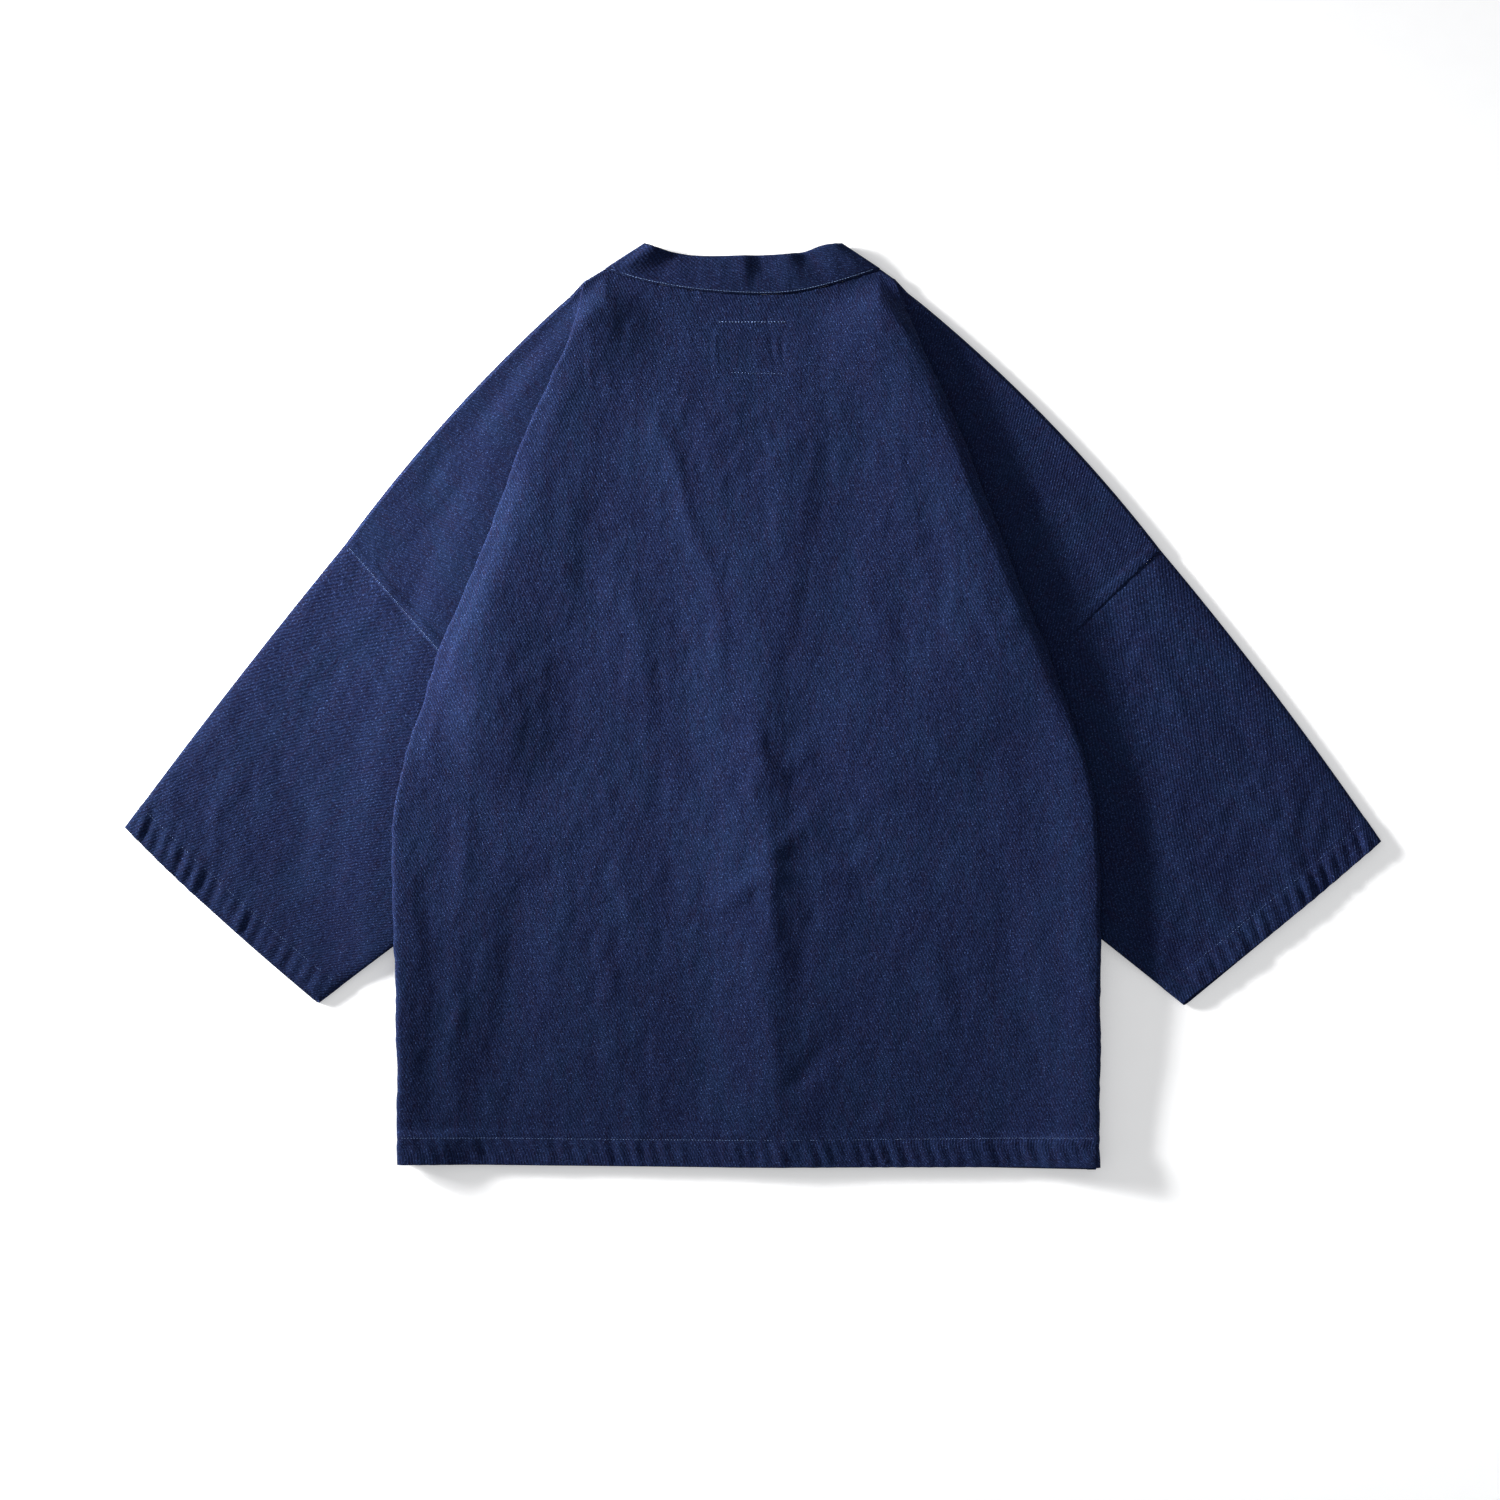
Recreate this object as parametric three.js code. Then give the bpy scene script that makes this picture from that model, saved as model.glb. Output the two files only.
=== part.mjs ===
// A haori-style work jacket of indigo cotton twill, laid flat with its back up.
//
// Millimetres, +Z up, +Y toward the collar, +X to the wearer's right as the back is seen.
// The fronts lie on the surface and the back lies on the fronts. The sleeves are turned down,
// so the body doubles over them on each side in a pleat: from the pleat's head on the shoulder
// an outer fold runs to the hem and an inner fold runs to the armpit. Between the two folds
// six layers of cloth lie on each other, and each has its own height.

import * as THREE from 'three';

// ---------------------------------------------------------------- cloth
const CLOTH = 1.2;            // wall of the body and the sleeves
const HEM_CLOTH = 1.8;        // wall of the turned hems
const BAND_CLOTH = 2.0;       // wall of the collar band, which is cloth folded double
const SEAM_GAP = 0.3;         // clearance between two sewn pieces
const HEM_DEPTH = 24;         // turned hem at the bottom edge and the cuffs
const HEM_STEP = 6;           // length over which the wall thickens above a hem
const BAND_WIDTH = 34;        // collar band

// ---------------------------------------------------------------- layers
const LAYER = 2.2;            // rise from one layer to the next where they lie stacked
const LOOSE = 3.4;            // rise of the upper wall over the lower one elsewhere
const PRESSED = 2.4;          // the same inside a sleeve that the body lies on
const LIFT_START = 46;        // a sleeve leaves the surface this far outside the body's edge
const LIFT_END = 16;          // and has reached its full height here
const SETTLE_START = 12;      // the body starts to sink this far below a sleeve's lower edge
const SETTLE_END = 45;        // and has sunk onto the layer below it here
const TOP_SETTLE_END = 150;   // the back's top layer takes longer
const STACK_MARGIN = 12;      // the back keeps the stack's height this far inside the inner fold
const STACK_FADE = 75;        // and comes down to the fronts this far inside it
const PLEAT_DEPTH = 36;       // distance below the shoulder at which the pleat is fully closed
const ROLL_REACH = 38;        // width of the back's soft outer fold
const TENT_RISE = 5.5;        // the pleats on both sides hold the back's middle up by this
const TENT_START = 8;         // the rise starts this far below the shoulder
const TENT_TOP = 110;         // and is full here
const TENT_FOOT = 260;        // and it fades out from this far above the hem
const RIM = (LOOSE - SEAM_GAP) / 2;   // radius to which both walls turn at the shoulder seam

// ---------------------------------------------------------------- folds
const HEAD_LENGTH = 0.12;     // station at which the outer fold has its full size
const HEAD_ROLL = 2.5;        // the cloth starts to turn this far inside the pleat's head
const OUTER_ROLL = 9;         // and this far inside the outer fold lower down
const PLEAT_OPEN = 14;        // the pleat's head is opened this far, so that no fold starts sharp
const PLEAT_CLOSE = 60;       // length over which it closes
const SEAM_END_INSET = 7;
const INNER_ROLL = 5;         // the inner fold starts to turn this far outside its line
const NECK_CALM = 0.45;       // station at which the back's rows have lost the neck seam's curve
const BAND_LEVEL = 0.3;       // station at which the fronts' rows run level to the band
const BAND_SQUARE = 0.2;      // station at which the band lies square to its seam

// ---------------------------------------------------------------- plan of each side
// neck: end of the collar seam; pleat: head of the pleat; shoulder: top end of the armhole seam;
// armpit: where the inner fold meets the side seam; sleeveCorner: low end of the armhole seam.
const SIDES = {
  left: {
    out: -1,
    neck: [-127, 376.5], peak: [-93, 398], pleat: [-146, 365], shoulder: [-351, 139],
    armpit: [-142, -85], sleeveCorner: [-152, -88],
    cuffTop: [-540, -104], cuffLow: [-372, -252],
    hemY: -393, frontHemY: -391, bandHemY: -391, shoulderBow: 7.6, sleeveBow: 2, cuffBow: 4.5, cuffSlip: 4,
  },
  right: {
    out: 1,
    neck: [109, 376.5], peak: [76, 398], pleat: [121.5, 367.5], shoulder: [350, 135],
    armpit: [126, -67], sleeveCorner: [136, -70],
    cuffTop: [540, -116], cuffLow: [370, -254.5],
    hemY: -395.5, frontHemY: -398, bandHemY: -393, shoulderBow: 9.3, sleeveBow: 4, cuffBow: 2, cuffSlip: 3,
  },
};
const CENTRE = [{ y: 355, x: -9 }, { y: -396, x: -4 }];

// Outer folds of the body, which are its side edges below the sleeves.
const BODY_EDGE = [
  { y: -400, left: -306, right: 297.5 },
  { y: -250, left: -306.5, right: 298.5 },
  { y: -150, left: -310, right: 297.5 },
  { y: -100, left: -309.5, right: 295 },
  { y: -50, left: -300.5, right: 286.5 },
  { y: 0, left: -284.5, right: 270 },
  { y: 50, left: -270, right: 252 },
  { y: 100, left: -247.5, right: 231 },
  { y: 150, left: -227, right: 212 },
  { y: 200, left: -208.5, right: 192.5 },
  { y: 240, left: -193.5, right: 176.5 },
  { y: 280, left: -175, right: 158.5 },
  { y: 320, left: -157, right: 140.5 },
  { y: 370, left: -145, right: 120.5 },
];

// Seams between the fronts and the collar band.
const FRONT_EDGE = [
  { y: -400, left: -34.7, right: 34.7 },
  { y: 0, left: -34.7, right: 35.2 },
  { y: 60, left: -35.5, right: 42 },
  { y: 126, left: -40, right: 54 },
  { y: 200, left: -61, right: 66 },
  { y: 281, left: -89, right: 78 },
  { y: 376.5, left: -127, right: 109 },
];

// Collar seam at the back of the neck, and the top edge of the collar above it.
const NECK_SEAM = [
  { x: -127, y: 376.5 },
  { x: -97, y: 367 },
  { x: -54, y: 359 },
  { x: -3, y: 355 },
  { x: 32, y: 356 },
  { x: 66, y: 363 },
  { x: 109, y: 376.5 },
];
const COLLAR_TOP = [
  { x: -93, y: 398 },
  { x: -73, y: 392 },
  { x: -50, y: 388 },
  { x: -9, y: 388 },
  { x: 40, y: 390.5 },
  { x: 61, y: 397 },
  { x: 76, y: 398 },
];

// The largest soft folds of the back: a ridge or a trough along a straight line. The widths of
// its flanks are those on the left and on the right as one looks along the line.
const BACK_FOLDS = [
  { x0: -122, y0: 310, x1: -146, y1: 40, height: -1.0, left: 26, right: 26 },
  { x0: -146, y0: 40, x1: -190, y1: -150, height: -1.2, left: 40, right: 30 },
  { x0: -190, y0: -150, x1: -226, y1: -330, height: -1.6, left: 34, right: 24 },
  { x0: 104, y0: 345, x1: 150, y1: 240, height: 2.6, left: 24, right: 36 },
  { x0: 150, y0: 240, x1: 208, y1: 20, height: 4.4, left: 50, right: 46 },
  { x0: 120, y0: -60, x1: 262, y1: 40, height: 2.2, left: 70, right: 34 },
  { x0: -84, y0: 280, x1: -14, y1: 60, height: 1.9, left: 70, right: 30 },
  { x0: 58, y0: 262, x1: 26, y1: 20, height: 2.0, left: 26, right: 60 },
  { x0: 10, y0: 60, x1: 20, y1: -390, height: 2.6, left: 170, right: 46 },
  { x0: 2, y0: 30, x1: 10, y1: -120, height: 2.4, left: 22, right: 40 },
  { x0: 8, y0: -110, x1: 18, y1: -230, height: 2.8, left: 27, right: 42 },
  { x0: 18, y0: -220, x1: 24, y1: -390, height: 2.2, left: 34, right: 42 },
  { x0: -186, y0: 200, x1: -226, y1: 50, height: 4.0, left: 40, right: 24 },
  { x0: -226, y0: 50, x1: -238, y1: -50, height: 8.6, left: 60, right: 28 },
  { x0: -276, y0: -110, x1: -276, y1: -370, height: -1, left: 16, right: 14 },
  { x0: 92, y0: -184, x1: -20, y1: -150, height: 1.2, left: 20, right: 20 },
];

// Height of the back's soft outer folds.
const EDGE_ROLL = [
  { y: -400, left: 4.4, right: 4.6 },
  { y: -200, left: 2.8, right: 4.4 },
  { y: -100, left: 0.6, right: 4.0 },
  { y: -40, left: -0.8, right: 3.6 },
  { y: 60, left: -0.8, right: 3.8 },
  { y: 200, left: 1.2, right: 3.8 },
  { y: 370, left: 3.2, right: 3.2 },
];

// ---------------------------------------------------------------- small tools
const lerp = (a, b, t) => a + (b - a) * t;
const mix = (p, q, t) => p.map((value, i) => lerp(value, q[i], t));
const add = (p, q, k = 1) => p.map((value, i) => value + k * q[i]);
const reach = (p, q) => Math.hypot(q[0] - p[0], q[1] - p[1]);

function ease(from, to, x) {
  const t = Math.min(1, Math.max(0, (x - from) / (to - from)));
  return t * t * (3 - 2 * t);
}

// Unit normal in plan of the line p-q, on its left side.
function leftOf(p, q) {
  const length = reach(p, q);
  return [(p[1] - q[1]) / length, (q[0] - p[0]) / length];
}

// Smooth curve through a table's rows, sorted by its key column.
function readTable(table, key, column, at) {
  let i = 0;
  while (i < table.length - 2 && at > table[i + 1][key]) i += 1;
  const slope = (j) => {
    const a = table[Math.max(0, j - 1)];
    const b = table[Math.min(table.length - 1, j + 1)];
    return (b[column] - a[column]) / (b[key] - a[key]);
  };
  const [a, b] = [table[i], table[i + 1]];
  const span = b[key] - a[key];
  const t = (at - a[key]) / span;
  if (t < 0 || t > 1) return lerp(a[column], b[column], t);
  const rise = b[column] - a[column];
  const bend = (slope(i) * span - rise) * (1 - t) - (slope(i + 1) * span - rise) * t;
  return lerp(a[column], b[column], t) + t * (1 - t) * bend;
}

// ---------------------------------------------------------------- lines in plan
// A station runs from 0 at the shoulder to 1 at the armpit and 2 at the hem.
const edgeX = (side, y) => readTable(BODY_EDGE, 'y', side, y);
const centreX = (y) => lerp(CENTRE[0].x, CENTRE[1].x, (CENTRE[0].y - y) / (CENTRE[0].y - CENTRE[1].y));

function stationY(side, station, hemY) {
  const { pleat, armpit } = SIDES[side];
  if (station <= 1) return lerp(pleat[1], armpit[1], station);
  return lerp(armpit[1], hemY, station - 1);
}

function outerFold(side, station, panel) {
  const y = stationY(side, station, panel.hemY(side));
  return [edgeX(side, y) - SIDES[side].out * panel.inset * ease(0, HEAD_LENGTH, station), y];
}

// Where a panel's top layer ends and its turn round the outer fold starts.
function rollStart(side, station, panel) {
  const { neck, pleat, out } = SIDES[side];
  const width = lerp(HEAD_ROLL, OUTER_ROLL, ease(0, HEAD_LENGTH, station));
  if (station === 0) return mix(pleat, neck, width / reach(pleat, neck));
  return add(outerFold(side, station, panel), [-out * width, 0]);
}

// Inner fold down to the armpit, then the side seam, which ends just inside the hem's corner.
function innerFold(side, station, panel) {
  const { pleat, armpit, shoulder, out } = SIDES[side];
  const [edge, y] = outerFold(side, station, panel);
  if (station <= 1) {
    const opening = PLEAT_OPEN * (1 - ease(0, PLEAT_CLOSE, pleat[1] - y));
    const way = mix(pleat, shoulder, opening / reach(pleat, shoulder));
    return add([lerp(pleat[0], armpit[0], station), y], add(way, pleat, -1));
  }
  const end = edgeX(side, panel.hemY(side)) - out * SEAM_END_INSET;
  return [Math.min(lerp(armpit[0], end, station - 1) * out, edge * out - SEAM_END_INSET) * out, y];
}

const armholeSeam = (side, station) => mix(SIDES[side].shoulder, SIDES[side].sleeveCorner, station);

// Outward normals of the shoulder line, and of the short line from the neck to the pleat's head.
const shoulderNormal = (side) => {
  const { pleat, shoulder, out } = SIDES[side];
  return leftOf(shoulder, pleat).map((value) => value * -out);
};
const neckNormal = (side) => {
  const { neck, pleat, out } = SIDES[side];
  return leftOf(pleat, neck).map((value) => value * -out);
};

function topY(side, x) {
  const { out, neck, pleat, shoulder } = SIDES[side];
  const at = x * out;
  if (at <= neck[0] * out) return readTable(NECK_SEAM, 'x', 'y', x);
  const [a, b] = at <= pleat[0] * out ? [neck, pleat] : [pleat, shoulder];
  return lerp(a[1], b[1], (x - a[0]) / (b[0] - a[0]));
}

// Distance below a sleeve's lower edge, negative on the sleeve.
function belowSleeve(side, x, y) {
  const { sleeveCorner, cuffLow, out } = SIDES[side];
  const normal = leftOf(cuffLow, sleeveCorner);
  return ((x - cuffLow[0]) * normal[0] + (y - cuffLow[1]) * normal[1]) * out;
}

// ---------------------------------------------------------------- heights of the cloth's middle
const hemShare = (y, hemY) => 1 - ease(HEM_DEPTH, HEM_DEPTH + HEM_STEP, y - hemY);
const hemWall = (y, hemY) => lerp(CLOTH, HEM_CLOTH, hemShare(y, hemY));

// 0 at the shoulder and the neck, 1 where the pleat is closed.
const closed = (side, x, y) => ease(4, PLEAT_DEPTH, topY(side, x) - y);

// How far a strip or a sleeve is lifted onto the front's pleat.
function lifted(side, x, y) {
  const outside = (x - edgeX(side, y)) * SIDES[side].out;
  return (1 - ease(LIFT_END, LIFT_START, outside)) * closed(side, x, y);
}

// A front's hem may slant from the band to the outer fold.
function frontHemAt(side, x) {
  const { frontHemY, bandHemY } = SIDES[side];
  const seam = readTable(FRONT_EDGE, 'y', side, bandHemY);
  return lerp(bandHemY, frontHemY, (x - seam) / (edgeX(side, frontHemY) - seam));
}

const layerRise = (side, y) => LAYER + (HEM_CLOTH - CLOTH) * hemShare(y, SIDES[side].hemY);
const frontHeight = (side, x, y) => hemWall(y, frontHemAt(side, x)) / 2;
const frontReturnHeight = (side, x, y) =>
  frontHeight(side, x, y) + layerRise(side, y) * closed(side, x, y);
const stripFrontHeight = (side, x, y) => CLOTH / 2 + 2 * LAYER * lifted(side, x, y);
const stripBackHeight = (side, x, y) =>
  stripFrontHeight(side, x, y) + lerp(LOOSE, PRESSED, lifted(side, x, y));

function backReturnHeight(side, x, y) {
  return settled(side, x, y, SETTLE_END);
}

// Height of the back's returned layer, if it came down over the given length below the sleeve.
function settled(side, x, y, length) {
  const onSleeve = stripBackHeight(side, x, y) + LAYER * closed(side, x, y);
  const onFront = frontReturnHeight(side, x, y) + layerRise(side, y);
  return lerp(onSleeve, onFront, ease(SETTLE_START, length, belowSleeve(side, x, y)));
}

function foldHeight(x, y) {
  let sum = 0;
  for (const { x0, y0, x1, y1, height, left, right } of BACK_FOLDS) {
    const length = Math.hypot(x1 - x0, y1 - y0);
    const along = ((x - x0) * (x1 - x0) + (y - y0) * (y1 - y0)) / length;
    const across = ((x - x0) * (y1 - y0) - (y - y0) * (x1 - x0)) / length;
    const soft = (left + right) / 2;
    const fade = ease(-soft, soft, along) * (1 - ease(length - soft, length + soft, along));
    sum += height * fade * Math.exp(-((across / (across < 0 ? left : right)) ** 2));
  }
  return sum;
}

const BACK_REST = 4.6;        // the back's height over the surface in the middle of the garment
const HEM_RISE = (HEM_CLOTH - CLOTH) / 2;
const CALM_EDGE = 12;         // soft folds fade out this far inside the outer fold
const BLEND = 1.5;            // height over which the middle and the stack at its side merge
const TOP_LEAST = 1.9;        // least rise of the top layer over the layer below it
const TOP_BLEND = 1.2;
function backHeight(side, x, y) {
  const { out, hemY } = SIDES[side];
  const shut = closed(side, x, y);
  const inside = (edgeX(side, y) - x) * out;
  const station = stationOf(side, y);
  const fold = innerFold(side, station, BACK)[0] * out;
  const stacked = 1 - ease(STACK_MARGIN, STACK_FADE, fold - x * out);
  const roll = readTable(EDGE_ROLL, 'y', side, y) * Math.exp(-((inside / ROLL_REACH) ** 2));
  const stack = settled(side, x, y, TOP_SETTLE_END) + (layerRise(side, y) + roll) * shut;
  const tent = TENT_RISE * ease(TENT_START, TENT_TOP, topY(side, x) - y) * ease(0, TENT_FOOT, y - hemY);
  const rest = CLOTH / 2 + lerp(LOOSE, BACK_REST, shut) + tent;
  const beside = lerp(rest, stack, stacked);
  const raised = beside + (rest - beside + Math.hypot(rest - beside, BLEND * stacked * shut)) / 2;
  const folded = raised + foldHeight(x, y) * shut * ease(0, CALM_EDGE, inside);
  const onReturn = ease(-STACK_FADE, 0, x * out - fold);
  const least = lerp(rest - TENT_RISE, backReturnHeight(side, x, y) + TOP_LEAST, onReturn);
  const clear = folded + (least - folded + Math.hypot(least - folded, TOP_BLEND)) / 2;
  return lerp(raised, clear, shut) + hemShare(y, hemY) * HEM_RISE;
}

function stationOf(side, y) {
  const { pleat, armpit, hemY } = SIDES[side];
  if (y >= armpit[1]) return Math.max(0, (pleat[1] - y) / (pleat[1] - armpit[1]));
  return 1 + (armpit[1] - y) / (armpit[1] - hemY);
}

// ---------------------------------------------------------------- the panels' layers
const BACK = {
  inset: CLOTH / 2,
  hemY: (side) => SIDES[side].hemY,
  hemAt: (side) => SIDES[side].hemY,
  heights: [backHeight, backReturnHeight, stripBackHeight],
  seamTurn: 1,
  rimTurn: -1,
};
const FRONT = {
  inset: CLOTH / 2 + 3,
  hemY: (side) => SIDES[side].frontHemY,
  hemAt: frontHemAt,
  heights: [frontHeight, frontReturnHeight, stripFrontHeight],
  seamTurn: -1,
  rimTurn: 1,
};

// ---------------------------------------------------------------- rows and columns
const ROWS_TO_ARMPIT = 15;
const ROWS_TO_HEM = 8;
const HEM_SHARE = 0.905;      // the last plain row, just above the turned hem
const STATIONS = [];
for (let k = 0; k <= ROWS_TO_ARMPIT; k += 1) STATIONS.push((k / ROWS_TO_ARMPIT) ** 1.6);
for (let k = 1; k <= ROWS_TO_HEM; k += 1) STATIONS.push(1 + (HEM_SHARE * k) / ROWS_TO_HEM);
STATIONS.push(1.925, 2);

const BACK_COLUMNS = 12;      // from the centre to the outer fold
const FRONT_COLUMNS = 6;
const NECK_COLUMN = 9;        // the back's column that starts at the neck end of the shoulder
const RETURN_STEPS = [0.33, 0.67];
const STRIP_STEPS = [0.12, 0.4, 0.7, 1];

// Height at which the back and the front meet in the side seam.
function seamHeight(side, station) {
  const [x, y] = innerFold(side, station, BACK);
  return (backReturnHeight(side, x, y) + frontReturnHeight(side, x, y)) / 2;
}

// Five points round a fold: a and b lie in one layer, c and d in the other.
function turn(a, b, c, d) {
  const [ab, bc, cd] = [mix(a, b, 0.5), mix(b, c, 0.5), mix(c, d, 0.5)];
  const round = (p, corner, q) => mix(mix(p, corner, 0.5), mix(corner, q, 0.5), 0.5);
  return [ab, round(ab, b, bc), bc, round(bc, c, cd), cd];
}

// One row of a panel's side, from the first column off its inner line to its outer edge.
function sideRow(side, station, panel, plan, columns) {
  const [top, back, strip] = panel.heights;
  const at = (p, height) => [p[0], p[1], height(side, p[0], p[1])];
  const outer = outerFold(side, station, panel);
  const inner = innerFold(side, station, panel);
  const width = reach(outer, inner);
  const turnIn = Math.min(0.3, OUTER_ROLL / width);
  const turnOut = Math.min(0.3, INNER_ROLL / width);
  const row = [];
  for (let j = 1; j <= columns; j += 1) row.push(at(plan(j / columns), top));
  const start = plan(1);
  row.push(...turn(
    at(start, top), at(outer, top), at(outer, back), at(mix(outer, inner, turnIn), back),
  ));
  for (const step of RETURN_STEPS) row.push(at(mix(outer, inner, step), back));
  const seam = station > 1;
  const last = at(inner, back);
  if (seam) {
    const shift = (hemWall(inner[1], panel.hemAt(side, inner[0])) + SEAM_GAP) / 2;
    row.push(at(mix(inner, outer, turnOut), back));
    row.push([inner[0], inner[1], seamHeight(side, station) + panel.seamTurn * shift]);
    return row;
  }
  const edge = armholeSeam(side, station);
  const beside = mix(inner, edge, Math.min(0.3, INNER_ROLL / reach(inner, edge)));
  row.push(...turn(at(mix(inner, outer, turnOut), back), last, at(inner, strip), at(beside, strip)));
  const bow = SIDES[side].shoulderBow * (1 - station) ** 2;
  for (const step of STRIP_STEPS) {
    const p = mix(inner, edge, step);
    row.push(at(add(p, shoulderNormal(side), bow * 4 * step * (1 - step)), strip));
  }
  return row;
}

// The plan of the back between its centre and its outer fold. Its first row is the neck seam,
// then the shoulder from the neck to the pleat's head.
function backPlan(side, station) {
  const start = rollStart(side, station, BACK);
  const centreY = lerp(CENTRE[0].y, CENTRE[1].y, stationDepth(side, station));
  const centre = [centreX(centreY), centreY];
  const neckShare = NECK_COLUMN / BACK_COLUMNS;
  return (share) => {
    const straight = mix(centre, start, share);
    const blend = (1 - ease(0, NECK_CALM, station)) ** 1.5;
    if (blend === 0) return straight;
    const head = mix([centreX(CENTRE[0].y), CENTRE[0].y], rollStart(side, 0, BACK), share);
    const curve = share <= neckShare
      ? neckSeam(side, share / neckShare)
      : mix(SIDES[side].neck, rollStart(side, 0, BACK), (share - neckShare) / (1 - neckShare));
    return add(straight, add(curve, head, -1), blend);
  };
}

function stationDepth(side, station) {
  const top = stationY(side, 0, SIDES[side].hemY);
  return (top - stationY(side, station, SIDES[side].hemY)) / (top - SIDES[side].hemY);
}

function neckSeam(side, share) {
  const x = lerp(centreX(CENTRE[0].y), SIDES[side].neck[0], share);
  return [x, readTable(NECK_SEAM, 'x', 'y', x)];
}

// The front's edge along the collar band.
function bandSeam(side, station) {
  const y = stationY(side, station, SIDES[side].bandHemY)
    + (SIDES[side].neck[1] - SIDES[side].pleat[1]) * (1 - ease(0, BAND_LEVEL, station));
  return [readTable(FRONT_EDGE, 'y', side, y), y];
}

function frontPlan(side, station) {
  const start = rollStart(side, station, FRONT);
  return (share) => mix(bandSeam(side, station), start, share);
}

// ---------------------------------------------------------------- meshes
// Rows of points, with a hole wherever a row has no point in a column, become a wall.
// A rim's points carry the direction in which their wall lies.
function thicken(rows, wallAt, rims = new Map()) {
  const ids = rows.map((row) => row.map(() => -1));
  const points = [];
  const walls = [];
  const fixed = [];
  const quads = [];
  const use = (k, c) => {
    if (ids[k][c] < 0) {
      ids[k][c] = points.length;
      points.push(new THREE.Vector3(...rows[k][c]));
      walls.push(wallAt(rows[k][c]));
      fixed.push(rims.get(`${k},${c}`));
    }
    return ids[k][c];
  };
  for (let k = 0; k + 1 < rows.length; k += 1) {
    for (let c = 0; c + 1 < rows[k].length; c += 1) {
      if (rows[k][c] && rows[k][c + 1] && rows[k + 1][c] && rows[k + 1][c + 1]) {
        quads.push([use(k, c), use(k, c + 1), use(k + 1, c + 1), use(k + 1, c)]);
      }
    }
  }
  return wallFrom(points, quads, walls, fixed);
}

// Moves a sheet's points half a wall each way along their normals and closes its edges.
function wallFrom(points, quads, walls, fixed) {
  const normals = points.map(() => new THREE.Vector3());
  for (const quad of quads) {
    const [a, b, c, d] = quad.map((id) => points[id]);
    const face = new THREE.Vector3().subVectors(c, a).cross(new THREE.Vector3().subVectors(d, b));
    for (const id of quad) normals[id].add(face);
  }
  const count = points.length;
  const position = new Float32Array(count * 6);
  points.forEach((point, id) => {
    const normal = fixed[id] ? new THREE.Vector3(...fixed[id]) : normals[id].normalize();
    point.clone().addScaledVector(normal, walls[id] / 2).toArray(position, id * 3);
    point.clone().addScaledVector(normal, -walls[id] / 2).toArray(position, (id + count) * 3);
  });
  const index = [];
  const open = new Map();
  for (const [a, b, c, d] of quads) {
    index.push(a, b, c, a, c, d, a + count, c + count, b + count, a + count, d + count, c + count);
    for (const [from, to] of [[a, b], [b, c], [c, d], [d, a]]) {
      if (!open.delete(`${to},${from}`)) open.set(`${from},${to}`, [from, to]);
    }
  }
  for (const [from, to] of open.values()) {
    index.push(from, from + count, to + count, from, to + count, to);
  }
  const geometry = new THREE.BufferGeometry();
  geometry.setAttribute('position', new THREE.BufferAttribute(position, 3));
  geometry.setIndex(index);
  return geometry;
}

// Two rows above the first turn the wall into the shoulder seam, from column `first` outwards.
// At the band the rim keeps to the band's seam.
function alongBand(side) {
  const { neck } = SIDES[side];
  const below = bandSeam(side, STATIONS[2]);
  const way = add(neck, below, -1).map((value) => value / reach(neck, below));
  const normal = neckNormal(side);
  return way.map((value) => value / (way[0] * normal[0] + way[1] * normal[1]));
}
const rimNormal = (side, c, columns) => (c < columns ? neckNormal(side) : shoulderNormal(side));

function addRim(side, row, first, columns, panel) {
  const rim = [[], []];
  row.forEach((point, c) => {
    if (c < first) return;
    const normal = c === 0 ? alongBand(side) : rimNormal(side, c, columns);
    const [x, y, z] = point;
    row[c] = [...add([x, y], normal, -RIM), z];
    const half = Math.SQRT1_2 * RIM;
    rim[0][c] = [x, y, z + panel.rimTurn * RIM];
    rim[1][c] = [...add([x, y], normal, half - RIM), z + panel.rimTurn * (RIM - half)];
  });
  return rim;
}

function backGeometry() {
  const half = (side) => STATIONS.map((station) =>
    sideRow(side, station, BACK, backPlan(side, station), BACK_COLUMNS));
  const halves = { left: half('left'), right: half('right') };
  const rims = {};
  for (const side of ['left', 'right']) {
    rims[side] = addRim(side, halves[side][0], NECK_COLUMN - 1, BACK_COLUMNS, BACK);
    halves[side].unshift(...rims[side]);
  }
  const width = BACK_COLUMNS + 5 + RETURN_STEPS.length + 5 + STRIP_STEPS.length;
  const fixed = new Map();
  const rows = halves.left.map((leftRow, k) => {
    const row = [];
    for (let c = width - 1; c >= 0; c -= 1) row.push(leftRow[c]);
    const station = STATIONS[Math.max(0, k - 2)];
    const middle = mix(backPlan('left', station)(0), backPlan('right', station)(0), 0.5);
    const height = (backHeight('left', ...middle) + backHeight('right', ...middle)) / 2;
    row.push(k < 2 ? undefined : [...middle, height]);
    for (let c = 0; c < width; c += 1) row.push(halves.right[k][c]);
    return row;
  });
  for (const [side, offset] of [['left', -1], ['right', 1]]) {
    rims[side][0].forEach((point, c) => {
      const normal = rimNormal(side, c, BACK_COLUMNS).map((value) => -value);
      if (point) fixed.set(`0,${width + offset * (c + 1)}`, [...normal, 0]);
    });
  }
  return thicken(rows, ([x, y]) => hemWall(y, SIDES[x < 0 ? 'left' : 'right'].hemY), fixed);
}

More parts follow.
